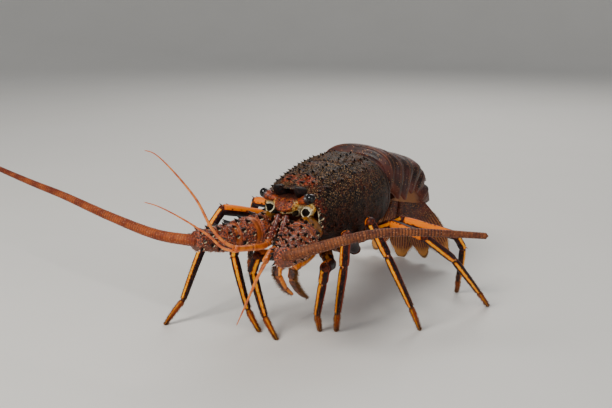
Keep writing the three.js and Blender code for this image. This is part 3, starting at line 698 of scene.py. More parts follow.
# The share, size and depth of each ring inside the carapace's front edge
FRONT_LIP = [
    (-0.05, 0.45, 6.0),
    (-0.04, 0.80, 7.0),
    (-0.03, 0.90, 5.0),
    (-0.02, 0.945, 1.6),
    (-0.01, 0.965, 0.2),
    (-0.005, 0.985, -0.35),
]


def carapace():
    rings, share, angle = shell_rings(170, 230)
    front = rings[0]
    middle = np.array([0.0, 2.0, 93.0])
    inner = [middle + (front - middle) * [grow, 1, grow] + [0, back, 0] for _, grow, back in FRONT_LIP]
    whole = np.vstack([inner, rings])
    shares = np.concatenate([[share for share, _, _ in FRONT_LIP], share[:, 0]])[:, None]
    away = np.minimum(angle, TURN - angle)
    warm = closeness(folded(whole), RED_PATCH, 75)
    warm = np.maximum(warm, 0.6 * (1 - ease(whole[..., 1], 2, 16)) * ease(away, 0.6, 1.1))
    yellow = closeness(folded(whole), RINGED_SPINE, 42)
    rim = (1 - ease(shares, 0.004, 0.014)) * ease(shares, -0.012, -0.006)
    rim = rim * ease(away, 1.4, 1.55) * (1 - ease(away, 2.3, 2.6))
    dusty = (1 - ease(away, 0.9, 1.9)) * (1 - 0.45 * ease(shares, 0.4, 0.95))
    Shape().loft(
        whole,
        warm=warm,
        yellow=yellow,
        rim=rim,
        dusty=dusty,
        hollow=1 - ease(shares, -0.035, -0.01),
        smooth_band=ease(shares, 0.945, 0.96),
    ).piece("carapace_shell", CARAPACE_FINISH, "carapace", ["carapace"])


def carapace_spines():
    thorns = Thorns()
    share, angle, length, radius = SHELL_SPINES.T
    foot, out, along = shell_frame(share, angle)
    thorns.add_all(foot, out - 0.9 * along, length, radius, 0.2)
    for _, sign in SIDES:
        rim = [(0.022, 1.5, *spine) for spine in RIM_SPINES]
        rim += [(0.012, 1.9, degrees, 2.4, 0.7) for degrees in np.arange(76, 128, 5.2)]
        for share, lean, degrees, length, radius in rim:
            foot, out, along = shell_frame(np.array([share]), np.array([math.radians(degrees) * sign]))
            thorns.add(foot[0], out[0] - lean * along[0], length, radius, 1.0)
    thorns.piece("carapace_spines", STOUT_SPINE, BLACK_SPINE_FINISH, "carapace", 0.12, 5)


SHELL_BRISTLES = 11000


def carapace_bristles():
    """Short pale bristles between the spines, thickest over the back and the head"""
    draw = np.random.default_rng(21)
    share = 0.03 + 0.9 * draw.random(SHELL_BRISTLES) ** 1.25
    angle = np.clip(draw.normal(0, 0.95, SHELL_BRISTLES), -2.1, 2.1)
    clumps = shell_point(share, angle)
    kept = roughness_at(clumps, 3.0, 4.0) + 0.5 * roughness_at(clumps, 12.0, 2.0) > -0.12
    share, angle = share[kept], angle[kept]
    foot, out, along = shell_frame(share, angle)
    aims = out - 0.75 * along + 0.45 * draw.normal(size=foot.shape)
    lengths = draw.uniform(0.8, 1.8, len(foot)) * (1.1 - 0.4 * share)
    unwrap = np.stack([0.02 + 0.96 * share, 0.5 + angle / (TURN + 0.2)], 1)
    bristles(
        "carapace_bristles", foot, aims, lengths, 0.1, unwrap, BRISTLE_FINISH, "carapace", 0.25
    )


# Finishes


def carapace_finish():
    """Dark brown shell under pale dusty grains, warm over the brow, with a pale front rim"""
    f = Finish("shell_dark_dusty", roughness=0.5, gloss=0.28)
    base = f.mottled(14.0, "1e0c07", "501f0e", 0.38, 0.66)
    grain = f.grains(1.5)
    base = f.tint(grain.over(0.32, 0.66), base, "0e0604")
    warm = f.mark("warm") * 1.1 + f.clouds(3.0) * 1.4 - 0.75
    base = f.tint(warm.over(0.3, 0.8) * (1 - grain.over(0.3, 0.6) * 0.65), base, "a83410")
    speck = f.flecks(0.9, 0.42, 0.24, 0.4, 0.56)
    base = f.tint(speck * (f.mark("dusty") * 0.9 + 0.06), base, "c09464")
    yellow = (f.mark("yellow") * 1.5 + f.clouds(1.6) * 0.7 - 0.45).over(0.25, 0.6)
    base = f.tint(yellow, base, "e0a234")
    base = f.tint(f.mark("rim") * f.clouds(1.8).over(0.3, 0.5), base, "eadcb4")
    band = f.mark("smooth_band")
    base = f.tint(band * 0.8, base, "2c1710")
    base = f.tint(f.mark("hollow"), base, "5a2412")
    f.give("Base Color", base)
    f.give("Roughness", f.clouds(3.0) * 0.3 + 0.42 + speck * 0.2)
    f.relief((1 - grain) * 0.6 + f.clouds(0.8, 4) * 0.4, 0.55)
    return f.material


def black_spine_finish():
    """Black horn-like tips over a pale ring at the foot"""
    f = Finish("spine_black_tip", roughness=0.4, coat=0.05, gloss=0.35)
    rise = f.mark("rise") + (f.clouds(0.7) - 0.5) * 0.12
    ringed = f.mark("ringed")
    cream = ringed.over(0.3, 0.9) * f.downward().most(ringed.over(1.2, 1.6))
    foot = f.tint(cream, "4a2014", "f2e6bd")
    return f.done(f.tint(rise.over(0.15, 0.18), foot, "0a0707"), f.clouds(0.5, 2), 0.08)


def bristle_finish():
    """Pale straw bristles, darker at the root"""
    f = Finish("bristle_straw", roughness=0.6)
    shade = f.mottled(5.0, "4e2e18", "a67a4a")
    return f.done(f.tint(f.mark("rise").over(0.1, 0.8), "1e0f08", shade))


CARAPACE_FINISH = carapace_finish()
BLACK_SPINE_FINISH = black_spine_finish()
BRISTLE_FINISH = bristle_finish()


def great_spine_finish():
    """A jet black spine whose foot is ringed in cream and yellow"""
    f = Finish("spine_great_ringed", roughness=0.5, gloss=0.25)
    rise = f.mark("rise") + (f.clouds(1.2) - 0.5) * 0.04
    foot = f.tint((rise + (f.clouds(0.9) - 0.5) * 0.1).over(0.06, 0.12), "dc9428", "f2e2b4")
    return f.done(f.tint(rise.over(0.18, 0.2), foot, "050404"))


def granule_finish():
    """Small pinkish granules with pale points"""
    f = Finish("granule_pink", roughness=0.4, coat=0.3)
    foot = f.mottled(3.0, "7e2c12", "a84e26", 0.4, 0.6)
    tip = f.tint(f.mark("ringed").over(0.6, 0.7), "c0683e", "f0dcc4")
    return f.done(f.tint(f.mark("rise").over(0.25, 0.6), foot, tip))


def horn_finish():
    """Horns near black, dusty brown at the foot"""
    f = Finish("horn_near_black", roughness=0.62, gloss=0.25)
    rise = f.mark("rise")
    foot = f.mottled(2.4, "2a1510", "6a3a1e", 0.42, 0.6)
    speck = f.flecks(0.9, 0.4, 0.22, 0.5, 0.6)
    foot = f.tint(speck, foot, "b09468")
    tip = f.mottled(1.6, "0b0706", "2c1310", 0.45, 0.65)
    base = f.tint((rise + f.clouds(2.0) * 0.3 - 0.15).over(0.12, 0.38), foot, tip)
    return f.done(base, f.clouds(0.9, 4), 0.25)


def eye_finish():
    f = Finish("eye_black", roughness=0.12, coat=0.25, coat_roughness=0.05, gloss=0.3)
    facet = f.grains(0.22)
    return f.done(f.mottled(3.0, "050507", "14100f", 0.3, 0.7), facet, 0.015)


def stalk_finish():
    """Eye stalks of mottled orange, dark where they meet the eye"""
    f = Finish("stalk_orange", roughness=0.4, coat=0.3)
    base = f.mottled(1.6, "4a1a0a", "a8440e")
    base = f.tint(f.flecks(1.4, 0.4, 0.25, 0.5, 0.6), base, "2a0f08")
    base = f.tint(f.mark("rise").over(0.74, 0.86), base, "1a0e0c")
    return f.done(base, f.clouds(0.7), 0.2)


def face_finish():
    """Granular orange-brown, breaking into yellow and cream along its edge, with painted shade under the
    horns
    """
    f = Finish("face_orange_granular", roughness=0.5, coat=0.05, gloss=0.3)
    base = f.mottled(3.4, "681c04", "a84004", 0.34, 0.66)
    grain = f.grains(0.95)
    base = f.tint(grain.over(0.3, 0.62), base, "4a1a0c")
    speck = f.flecks(0.8, 0.4, 0.2, 0.56, 0.68)
    base = f.tint(speck, base, "da7e16")
    yellow = f.mark("yellow")
    edge = (yellow * 1.25 + f.clouds(1.1) * 0.8 - 0.42).over(0.3, 0.62)
    spotted = f.flecks(1.5, 0.42, 0.3, 0.25, 0.35) * yellow.over(1.0, 0.7)
    gold = f.mottled(1.8, "de9626", "f2d074", 0.4, 0.6)
    gold = f.tint(yellow.over(0.6, 0.85), gold, "f6ecc4")
    base = f.tint(edge, base, f.tint(spotted, gold, "7c2c08"))
    # Painted shade: the plate's top back, under the horns, is darkened towards near black
    base = f.tint(f.mark("brow") * (0.7 + f.clouds(1.6) * 0.4), base, "24100b")
    base = f.tint(f.mark("under"), base, "3a1710")
    return f.done(base, (1 - grain) * 0.7 + f.clouds(0.6) * 0.3, 0.4)


def antenna_finish():
    """Dusky red shell in scale-like granules with pale edges, orange-brown where smooth"""
    f = Finish("antenna_dusky_red", roughness=0.5, coat=0.1)
    base = f.mottled(6.0, "80300f", "aa4c20")
    grain = f.grains(1.25)
    base = f.tint(grain.over(0.34, 0.6), base, "381008")
    fleck = f.flecks(1.0, 0.36, 0.2, 0.7, 0.78)
    base = f.tint(fleck, base, "d8966c")
    base = f.tint(f.clouds(2.4).over(0.56, 0.7) * 0.6, base, "bc4e1c")
    base = f.tint(f.mark("below") * 0.7, base, "54280e")
    soft = f.mottled(3.0, "8c3c0c", "b65a14")
    base = f.tint(f.mark("soft").over(0.35, 0.75), base, soft)
    return f.done(base, ((1 - grain) * 0.7 + f.clouds(0.7) * 0.3) * (1 - f.mark("soft") * 0.8), 0.5)


def joint_finish():
    """Smooth tan skin between segments"""
    f = Finish("joint_skin_tan", roughness=0.5, coat=0.15)
    return f.done(f.mottled(2.6, "7a300c", "b0561c"), f.clouds(0.9), 0.15)


def collar_finish():
    """The smooth yellow-brown collar of each antenna"""
    f = Finish("collar_yellow_brown", roughness=0.3, coat=0.5)
    amber = f.mottled(5.0, "5c3208", "985e10", 0.3, 0.7)
    return f.done(f.tint(f.mark("outer").over(0.3, 0.75), "220c07", amber), f.clouds(2.0), 0.1)


def whip_finish():
    """Orange-brown rings with dark edges and flecks; browner on the downy whip"""
    f = Finish("whip_orange_brown", roughness=0.6, gloss=0.3)
    base = f.mottled(9.0, "74280a", "a24c18")
    base = f.tint(f.mark("downy"), base, f.mottled(6.0, "4a2412", "7c4622"))
    fleck = f.flecks(1.3, 0.4, 0.25, 0.55, 0.65)
    base = f.tint(fleck * 0.45, base, "b87444")
    base = f.tint(f.mark("phase").over(0.5, 0.85) * 0.85, base, "2a0f07")
    fleck = f.flecks(1.1, 0.36, 0.2, 0.6, 0.7)
    base = f.tint(fleck, base, "2a120b")
    return f.done(base, f.clouds(0.8), 0.2)


def spinule_finish():
    f = Finish("spinule_dark", roughness=0.35)
    return f.done(f.tint(f.mark("rise").over(0.2, 0.6), "4a1c0e", "d0946c"))


def antennule_finish():
    """Bright orange, each fine ring darker at its edge"""
    f = Finish("antennule_orange", roughness=0.4, coat=0.3)
    base = f.mottled(5.0, "b84e10", "e6801c")
    base = f.tint(f.mark("phase").over(0.7, 0.98) * 0.5, base, "6e2a0c")
    base = f.tint(f.mark("joint") * 0.7, base, "6a2a12")
    dusky = f.tint(f.grains(1.2).over(0.3, 0.6), "7c2818", "340e08")
    base = f.tint(f.mark("red"), base, dusky)
    return f.done(base, f.clouds(0.6), 0.1)


GREAT_SPINE_FINISH = great_spine_finish()
GRANULE_FINISH = granule_finish()
HORN_FINISH = horn_finish()
EYE_FINISH = eye_finish()
STALK_FINISH = stalk_finish()
FACE_FINISH = face_finish()
ANTENNA_FINISH = antenna_finish()
JOINT_FINISH = joint_finish()
COLLAR_FINISH = collar_finish()
WHIP_FINISH = whip_finish()
SPINULE_FINISH = spinule_finish()
ANTENNULE_FINISH = antennule_finish()


def leg_finish():
    """Purple-black legs with a bright orange stripe between back and front, broad on the thigh"""
    f = Finish("leg_striped", roughness=0.45, gloss=0.14)
    top, side, striped = f.mark("top"), f.mark("front") * f.mark("near"), f.mark("striped")
    run, broad = f.mark("run"), f.mark("broad")
    waver = (f.clouds(2.5) - 0.5) * 0.14
    facing = top * 0.85 + side * 0.53 + waver + broad * 0.28
    whole = run.over(0.01, 0.07) * run.over(0.995, 0.95) * striped
    stripe = facing.over(0.935, 0.97) * whole
    behind = (top * 0.34 - side * 0.94 + waver).over(0.93, 0.97) * whole * (1 - broad)
    base = f.mottled(5.0, "0f080b", "2a1116")
    fleck = f.flecks(1.1, 0.42, 0.25, 0.55, 0.65)
    base = f.tint(fleck * facing.over(0.0, 0.6) * 0.5, base, "8a4a14")
    base = f.tint(facing.over(0.87, 0.925) * whole * 0.9, base, "8c2c04")
    base = f.tint(behind * 0.6, base, "9c3404")
    core = f.mottled(3.0, "ff8c00", "ffb200")
    core = f.tint(broad * 0.8, core, "f06c00")
    base = f.tint(stripe, base, core)
    spots = f.flecks(2.6, 0.44, 0.34, 0.3, 0.4)
    base = f.tint(spots * broad * facing.over(1.2, 1.02) * stripe, base, "2a0e0c")
    rust = f.mottled(2.0, "30110a", "6c2a0e")
    closed = run.over(0.02, 0.06) * run.over(0.995, 0.96)
    base = f.tint(f.mark("soft").most(1 - closed) * 0.85, base, rust)
    hip = f.mottled(3.0, "4a1c0c", "9a5018", 0.38, 0.62)
    base = f.tint(f.mark("hip") * 0.8, base, f.tint(fleck, hip, "1c0a06"))
    foot = f.tint(run.over(0.4, 0.97), "9c3a08", "240c06")
    base = f.tint(f.mark("foot") * (1 - stripe * 0.7) * 0.85, base, foot)
    return f.done(base, f.clouds(1.2, 4) * 0.6 + f.grains(1.0) * 0.25, 0.16)


def leg_spine_finish():
    f = Finish("leg_spine_rust", roughness=0.3, coat=0.4)
    return f.done(f.tint(f.mark("rise").over(0.25, 0.6), "b8621e", "140a08"))


def leg_bristle_finish():
    f = Finish("bristle_rust", roughness=0.5)
    return f.done(f.tint(f.mark("rise").over(0.0, 0.8), "4a2412", "a0682e"))


def footjaw_finish():
    """Brown footjaws with an orange stripe on the outer edge"""
    f = Finish("footjaw_brown", roughness=0.38, coat=0.3)
    side = (f.mark("front") * f.mark("near") + (f.clouds(2.0) - 0.5) * 0.3).over(0.55, 0.75)
    base = f.mottled(3.4, "32140c", "6e3410")
    stripe = f.mottled(2.6, "e07000", "ff980a")
    base = f.tint(side, base, stripe)
    return f.done(f.tint(f.mark("soft"), base, "9a5220"), f.clouds(1.0, 4), 0.15)


def mouth_finish():
    """Tan and brown mouthparts with dark hard jaw edges"""
    f = Finish("mouth_tan", roughness=0.45, coat=0.2)
    base = f.mottled(3.6, "6a3016", "a8602c")
    base = f.tint(f.flecks(1.4, 0.4, 0.25, 0.6, 0.7), base, "d8a468")
    base = f.tint(f.mark("hard") * f.mark("run").over(0.6, 0.95), base, "1c0e0a")
    return f.done(base, f.clouds(1.2, 4), 0.25)


def abdomen_finish():
    """Dark red-brown tail plates with pale flecks and a paler groove"""
    f = Finish("abdomen_red_brown", roughness=0.52, coat=0.08, gloss=0.35)
    base = f.mottled(11.0, "1e0b07", "48190e")
    fleck = f.flecks(1.3, 0.34, 0.18, 0.66, 0.76)
    base = f.tint(fleck, base, "b07a4c")
    base = f.tint(f.mark("groove") * 0.8, base, "7e4424")
    base = f.tint(f.mark("edge") * 0.6, base, "6e3018")
    base = f.tint((f.mark("flank") + f.clouds(6.0) - 0.5).over(0.3, 0.9) * 0.6, base, "7a3418")
    base = f.tint(f.mark("belly") * 0.8, base, "a8744c")
    return f.done(base, f.clouds(1.4, 4) * 0.7 + f.grains(1.3) * 0.3, 0.3)


def leaf_finish():
    f = Finish("leaf_orange_brown", roughness=0.45)
    base = f.tint((f.mark("run") + f.clouds(3.0) * 0.4).over(0.3, 1.1), "8c4418", "3a1a10")
    return f.done(base, f.clouds(1.0), 0.1)


def fan_finish():
    """Red-brown and spiny near the root, rayed orange-brown to the edge"""
    f = Finish("fan_rayed", roughness=0.45, coat=0.2)
    run = f.mark("run") + (f.clouds(5.0) - 0.5) * 0.16
    base = f.mottled(6.0, "3a1610", "6a2c1a")
    soft = f.tint(f.mark("ray").over(-0.2, 0.7), "5c2812", "a8602a")
    base = f.tint(run.over(0.3, 0.5), base, soft)
    base = f.tint(run.over(0.84, 0.96), base, "d08a3a")
    base = f.tint(f.flecks(1.2, 0.36, 0.2, 0.6, 0.7), base, "c08a58")
    return f.done(base, f.clouds(1.2, 4), 0.2)


def fringe_finish():
    f = Finish("fringe_tawny", roughness=0.55)
    return f.done(f.tint(f.mark("rise").over(0.0, 0.8), "6a3a1c", "c89858"))


LEG_FINISH = leg_finish()
LEG_SPINE_FINISH = leg_spine_finish()
LEG_BRISTLE_FINISH = leg_bristle_finish()
FOOTJAW_FINISH = footjaw_finish()
MOUTH_FINISH = mouth_finish()
ABDOMEN_FINISH = abdomen_finish()
LEAF_FINISH = leaf_finish()
FAN_FINISH = fan_finish()
FRINGE_FINISH = fringe_finish()


# Head: horns, eyes, face plate, antennae and antennules


HORN_RADIUS = 5.8
GREAT_SPINE = np.array([15.0, -1.4, 94.9])
PLATE_EDGE = 94.6
EYE = np.array([19.5, -3.0, 106.0])
EYE_RADIUS = 3.6
STALK_LINE = [[8.5, 2.5, 102.5], [11.5, -2.4, 102.9], [14.6, -3.2, 104.2]]


def horn(word, sign):
    """A curved horn over each eye, broad and dusty at its foot and black at its point"""
    points = [[8.2, 12, 103.5], [8.6, 6, 106], [8.9, 1, 108.6], [8.9, -3, 110.8], [8.6, -6, 113.4]]
    line = curve(mirrored(points, sign), 60)
    t = np.linspace(0, 1, 60)
    girth = HORN_RADIUS * np.clip(1 - t**2.6, 0, 1) ** 0.9 + 0.15
    girth = np.minimum(girth, HORN_RADIUS * np.sqrt(t / 0.05 + 0.02))
    rings = rings_along(line, girth * 0.98, girth * 0.95, Z, 44)
    rings = swollen(rings, 0.45 * roughness_at(rings, 2.2, 3.0) * (1 - 0.6 * t)[:, None])
    name = "horn_" + word
    Shape().loft(rings, rise=t[:, None]).piece(name + "_shell", HORN_FINISH, "horns", [name])
    thorns = Thorns()
    for share, side, length in ((0.5, 1.0, 3.0), (0.45, 0.2, 2.2), (0.5, -1.0, 2.6), (0.7, -0.6, 1.8)):
        i = int(share * 59)
        away = unit(side * sign * X + (1 - abs(side)) * Z + 0.2 * Z)
        thorns.add(line[i] + away * girth[i] * 0.85, away - 0.9 * Y, length, 0.9, 0.3)
    thorns.piece(name + "_spines", STOUT_SPINE, BLACK_SPINE_FINISH, "horns")


def eye(word, sign):
    """A glossy black eye on an orange-brown stalk"""
    middle = mirrored(EYE, sign)
    axis = unit(mirrored([1.0, -0.45, 0.25], sign))
    t = np.linspace(0, math.pi, 34)
    line = middle + np.outer(-np.cos(t), axis) * EYE_RADIUS
    girth = EYE_RADIUS * np.sin(t) + 0.001
    rings = rings_along(line, girth * 1.02, girth, Z, 44)
    Shape().loft(rings).piece("eye_%s_cornea" % word, EYE_FINISH, "eyes", ["eye_" + word])
    line = curve([*mirrored(STALK_LINE, sign), middle - axis * 0.6], 40)
    t = np.linspace(0, 1, 40)
    girth = 2.9 + 1.1 * ease(t, 0.45, 0.85) - 2.2 * ease(t, 0.93, 1.0) + 0.25 * hump(t, 0.8, 0.05)
    rings = rings_along(line, girth * 0.95, girth, Z, 36)
    rings = swollen(rings, 0.2 * roughness_at(rings, 1.6, 2.0))
    Shape().loft(rings, rise=t[:, None]).piece("eye_%s_stalk" % word, STALK_FINISH, "eyes")


PLATE_PLACES = [-10.5, -9.2, -5.8, -1.6, 4, 9]
PLATE_HALF = [3.6, 6.6, 10.2, 13.2, 14.4, 13.4]
PLATE_HIGH = [97.4, 99.8, 103.4, 105.2, 106.0, 105.5]
PLATE_LOW = [95.8, 94.2, 92.8, 92.2, 92.2, 92.2]


def face_plate():
    """The granular orange-brown plate between eyes and antennae, yellow along its lower edge"""
    y = np.linspace(PLATE_PLACES[0], PLATE_PLACES[-1], 80)[:, None]
    half, high, low = (profile(PLATE_PLACES, v)(y) for v in (PLATE_HALF, PLATE_HIGH, PLATE_LOW))
    angle = turns(110)[None, :]
    s, c = np.sin(angle), np.cos(angle)
    narrow = 1 - 0.46 * ease(-c, -0.45, 0.6)
    x = half * rounded(s, 0.7) * narrow
    crown = 1 + 0.10 * np.abs(x / 13) ** 2
    z = (low + high) / 2 + (high - low) / 2 * rounded(c, 0.62) * np.where(c > 0, crown, 1.0)
    rings = np.stack(np.broadcast_arrays(x, y, z), -1)
    notch = hump(x, 0, 1.5) * ease(c, 0.1, 0.7) * 0.9
    lumps = 0.35 * roughness_at(rings, 2.6) + 0.18 * roughness_at(rings, 1.0, 5.0)
    rings = swollen(rings, lumps - notch)
    near = closeness(folded(rings), GREAT_SPINE, 100)
    edge = hump(rings[..., 2], PLATE_EDGE, 1.0) * ease(-rings[..., 1], 1, 4)
    Shape().loft(
        rings,
        yellow=np.maximum(near * 1.1, edge * 0.8),
        # painted shade: marks the top back of the plate, where the horns overhang, for darkening
        brow=ease(rings[..., 1], -6, -1.5) * ease(c, 0.1, 0.5),
        under=1 - ease(rings[..., 2], 92.4, 93.8),
    ).piece("face_plate_shell", FACE_FINISH, "face_plate", ["antennular_plate"])
    thorns = Thorns()
    for _, sign in SIDES:
        for foot, aim, length, radius, ringed in (
            ([6.6, -1.8, 94.2], [0.28, -1, -0.1], 9.4, 3.2, 1.8),
            ([2.1, -9.2, 95.6], [0.1, -1, -0.1], 3.2, 1.5, 1.0),
            ([4.2, -6.2, 102.4], [0.1, -0.8, 0.7], 2.4, 1.0, 0.2),
            ([9.0, -3.6, 99.0], [0.4, -1, 0.1], 2.0, 0.8, 0.8),
            ([11.6, -1.8, 103.6], [0.4, -0.8, 0.6], 2.0, 0.9, 0.1),
        ):
            thorns.add(mirrored(foot, sign), mirrored(aim, sign), length, radius, ringed)
    thorns.piece("face_plate_spines", STOUT_SPINE, BLACK_SPINE_FINISH, "face_plate")


CHEEK_LINE = [
    [13.5, 5.5, 106.5],
    [15.0, 3.8, 102.5],
    [15.5, 3.6, 98],
    [15.3, 4.8, 94.2],
    [15.0, 6.5, 90],
]


def cheek(word, sign):
    """The granular lobe from the eye down to the great ringed spine"""
    line = curve(mirrored(CHEEK_LINE, sign), 60)
    t = np.linspace(0, 1, 60)
    girth = 5.0 * np.sin(np.pi * (t * 0.94 + 0.03)) ** 0.6 * (1 - 0.35 * ease(t, 0.55, 0.8))
    rings = rings_along(line, girth * 1.15, girth * 1.1, Y, 60)
    lumps = 0.42 * roughness_at(rings, 1.7, 8.0) + 0.2 * roughness_at(rings, 0.8, 1.0)
    rings = swollen(rings, lumps)
    near = closeness(rings, mirrored(GREAT_SPINE, sign), 55)
    shape = Shape().loft(rings, yellow=1.15 * near, brow=0.0, under=0.0)
    shape.piece("cheek_" + word, FACE_FINISH, "face_plate")


GREAT_SPINE_LENGTH = 7.2
GREAT_SPINE_PLACES = [0, 0.08, 0.17, 0.21, 0.3, 0.5, 0.8, 1]
GREAT_SPINE_GIRTH = [3.3, 4.0, 3.85, 3.1, 2.75, 1.95, 0.85, 0.1]


def great_spine(word, sign):
    """The great black spine between eye and antenna, standing in a pale swollen ring"""
    aim = unit(mirrored([0.2, -0.84, 0.62], sign))
    t = np.linspace(0, 1, 46)
    line = mirrored(GREAT_SPINE, sign) + np.outer((t - 0.08) * GREAT_SPINE_LENGTH, aim)
    girth = profile(GREAT_SPINE_PLACES, GREAT_SPINE_GIRTH)(t)
    rings = rings_along(line, girth, girth * 0.92, Z, 40)
    knobs = 0.3 * roughness_at(rings, 1.1, 2.0) * (1 - ease(t, 0.16, 0.24))[:, None]
    shape = Shape().loft(swollen(rings, knobs), rise=t[:, None])
    shape.piece("ringed_spine_" + word, GREAT_SPINE_FINISH, "carapace")


ANTENNA_LINE = [
    [13, 12, 79.8],
    [14.5, -1, 79.8],
    [16, -8, 79.8],
    [19.5, -18, 80],
    [22, -26, 80],
    [25, -35, 80],
    [28, -44, 80.5],
    [33, -58, 82],
    [36, -67, 83],
]
ANTENNA_HALF = [11.2, 11.6, 11.8, 11.7, 11.3, 10.2, 9.4, 7.5, 6.6]
ANTENNA_CUTS = [0, 3, 5, 8]
GRANULES = [260, 220, 420]
SMOOTH_SHARES = [0.12, 0.3, 0.1]


def antenna_axis():
    line = curve(ANTENNA_LINE, 400)
    knots = [np.argmin(((line - p) ** 2).sum(1)) / 399 for p in np.array(ANTENNA_LINE, float)]
    return line, np.array(knots)


ANTENNA_AXIS, ANTENNA_KNOTS = antenna_axis()


def antenna_segment(word, sign, number):
    """One stout segment of an antenna's base: barrelled, granular and spined, with a smooth rim"""
    first, last = ANTENNA_KNOTS[ANTENNA_CUTS[number]], ANTENNA_KNOTS[ANTENNA_CUTS[number + 1]]
    rows, sides = 90, 120
    share = np.linspace(first + 0.004, last + 0.003, rows)
    t = np.linspace(0, 1, rows)
    line = mirrored(at_share(ANTENNA_AXIS, share), sign)
    half = profile(ANTENNA_KNOTS, ANTENNA_HALF)(share)
    collar = (0.2, 0.12, 0.12)[number]
    swell = ease(t, 0.45, 0.85) if number == 0 else ease(t, 0.0, 0.22)
    shape = 1 + 0.035 * np.sin(np.pi * t) - collar * (1 - swell) + 0.05 * hump(t, 0.93, 0.04)
    closing = np.sqrt(1 - ease(t, 0.955, 1.0) ** 2 * 0.75) * (0.6 + 0.4 * ease(t, -0.02, 0.05))
    girth = half * shape * closing
    rings = rings_along(line, girth, girth, Z, sides)
    angle = turns(sides)[None, :]
    bare = SMOOTH_SHARES[number]
    rough = ease(t, bare, bare + 0.08)[:, None] * (1 - ease(t, 0.95, 0.99))[:, None]
    ridges = 0.35 * np.cos(angle * 5 + 0.6) * np.sin(np.pi * t)[:, None]
    lumps = (0.55 * roughness_at(rings, 3.6, number) + 0.28 * roughness_at(rings, 1.5, 7.0)) * rough
    rings = swollen(rings, lumps + ridges * 0.8)
    soft = (1 - rough) * (1 - ease(t, 0.6, 0.7))[:, None]
    below = 1 - ease(np.cos(angle), -0.95, -0.1)
    name = "antenna_%s_%d" % (word, number + 1)
    shape = Shape().loft(rings, soft=soft, below=below)
    shape.piece(name + "_shell", ANTENNA_FINISH, "antenna_bases", [name])
    antenna_spines(name, rings, line, number, sign)


SPINE_PLACES = [
    [(0.5, 1.0), (0.72, 0.9), (0.93, 1.2)],
    [(0.52, 1.0), (0.9, 1.2)],
    [(0.1, 0.9), (0.28, 1.0), (0.48, 1.0), (0.68, 0.9), (0.9, 0.85)],
]


def surface_at(rings, line, t, angle):
    """A point of a loft, the way out of it and the way along it"""
    rows, sides = rings.shape[:2]
    row = int(round(t * (rows - 1)))
    place = angle / TURN * sides
    k = int(math.floor(place))
    foot = lerp(rings[row, k % sides], rings[row, (k + 1) % sides], place - k)
    ahead = unit(line[min(row + 1, rows - 1)] - line[max(row - 1, 0)])
    out = foot - line[row]
    return foot, unit(out - ahead * (out @ ahead)), ahead


def antenna_spines(name, rings, line, number, sign):
    """Ringed black spines in rows round the segment, with small pale-tipped granules between"""
    draw = np.random.default_rng(40 + number)
    large, small = Thorns(), Thorns()
    for row, (t, size) in enumerate(SPINE_PLACES[number]):
        degrees = [-96, -46, 2, 48, 100] if row % 2 else [-120, -72, -22, 24, 74, 122]
        for turned in degrees:
            jitter = 8 * draw.random()
            if number == 0 and abs(turned + 35) >= 95:
                continue
            angle = math.radians(sign * (turned + jitter))
            foot, out, ahead = surface_at(rings, line, t, angle)
            length = (3.6 + 1.4 * draw.random()) * size
            large.add(foot + out * 0.15, out + 1.1 * ahead, length * 1.15, 1.6 * size, 1.0)
    for _ in range(GRANULES[number]):
        t = draw.uniform(SMOOTH_SHARES[number] + 0.08, 0.95)
        foot, out, ahead = surface_at(rings, line, t, draw.uniform(0, TURN))
        size = draw.uniform(0.35, 1.0) ** 1.5
        pale = draw.uniform(0.0, 1.0)
        small.add(foot - out * 0.1, out + 0.9 * ahead, 0.5 + 1.3 * size, 0.3 + 0.3 * size, pale)
    large.piece(name + "_spines", STOUT_SPINE, BLACK_SPINE_FINISH, "antenna_bases", 0.1, 9)
    small.piece(name + "_granules", SMALL_SPINE, GRANULE_FINISH, "antenna_bases", 0.2, 9)


def antenna_joint(word, sign, number):
    """The smooth skin between two segments"""
    knot = ANTENNA_KNOTS[ANTENNA_CUTS[number]]
    half = profile(ANTENNA_KNOTS, ANTENNA_HALF)(knot)
    share = knot + np.linspace(-0.05, 0.055, 30)
    line = mirrored(at_share(ANTENNA_AXIS, share), sign)
    t = np.linspace(0, 1, 30)
    girth = half * 0.93 * np.sin(np.pi * (0.12 + 0.76 * t)) ** 0.3
    rings = rings_along(line, girth, girth, Z, 80)
    rings = swollen(rings, 0.16 * np.sin(t * 40)[:, None] + 0.1 * roughness_at(rings, 2.0))
    name = "antenna_%s_joint_%d" % (word, number)
    Shape().loft(rings).piece(name, JOINT_FINISH, "antenna_bases")


def antenna_collar(word, sign):
    """The smooth yellow-brown half-moon between the carapace's edge and the antenna's root"""
    line = mirrored(curve([[14.3, 4, 79.8], [15.2, -3.5, 79.8], [16.8, -12.5, 79.8]], 40), sign)
    t = np.linspace(0, 1, 40)
    girth = 12.7 * np.sin(np.pi * (0.16 + 0.68 * t)) ** 0.42
    rings = rings_along(line, girth, girth * 1.02, Z, 100)
    angle = turns(100)[None, :] * np.ones((40, 1))
    outer = np.cos(angle + sign * 0.7)
    grown = (0.88 + 0.15 * ease(outer, 0.35, 0.9))[..., None]
    shape = Shape().loft(line[:, None] + (rings - line[:, None]) * grown, outer=outer)
    shape.piece("antenna_%s_collar" % word, COLLAR_FINISH, "antenna_bases")


FLAGELLUM_RADIUS = 4.3
RING_PITCH = 2.1
RIGHT_WHIP = [
    [-34, -64, 82.5],
    [-66, -68, 83.2],
    [-112, -66, 89.6],
    [-163, -62, 98.6],
    [-201, -58, 103.4],
    [-242, -53, 109],
    [-300, -44, 117],
    [-370, -30, 126],
    [-437, -14, 133],
]
LEFT_WHIP = [
    [34, -64, 82.5],
    [46, -62, 86.5],
    [70, -47, 94.6],
    [85, -37.5, 98.4],
    [100, -28, 99.6],
    [122, -14.5, 98.7],
    [149, 1.5, 96.6],
]


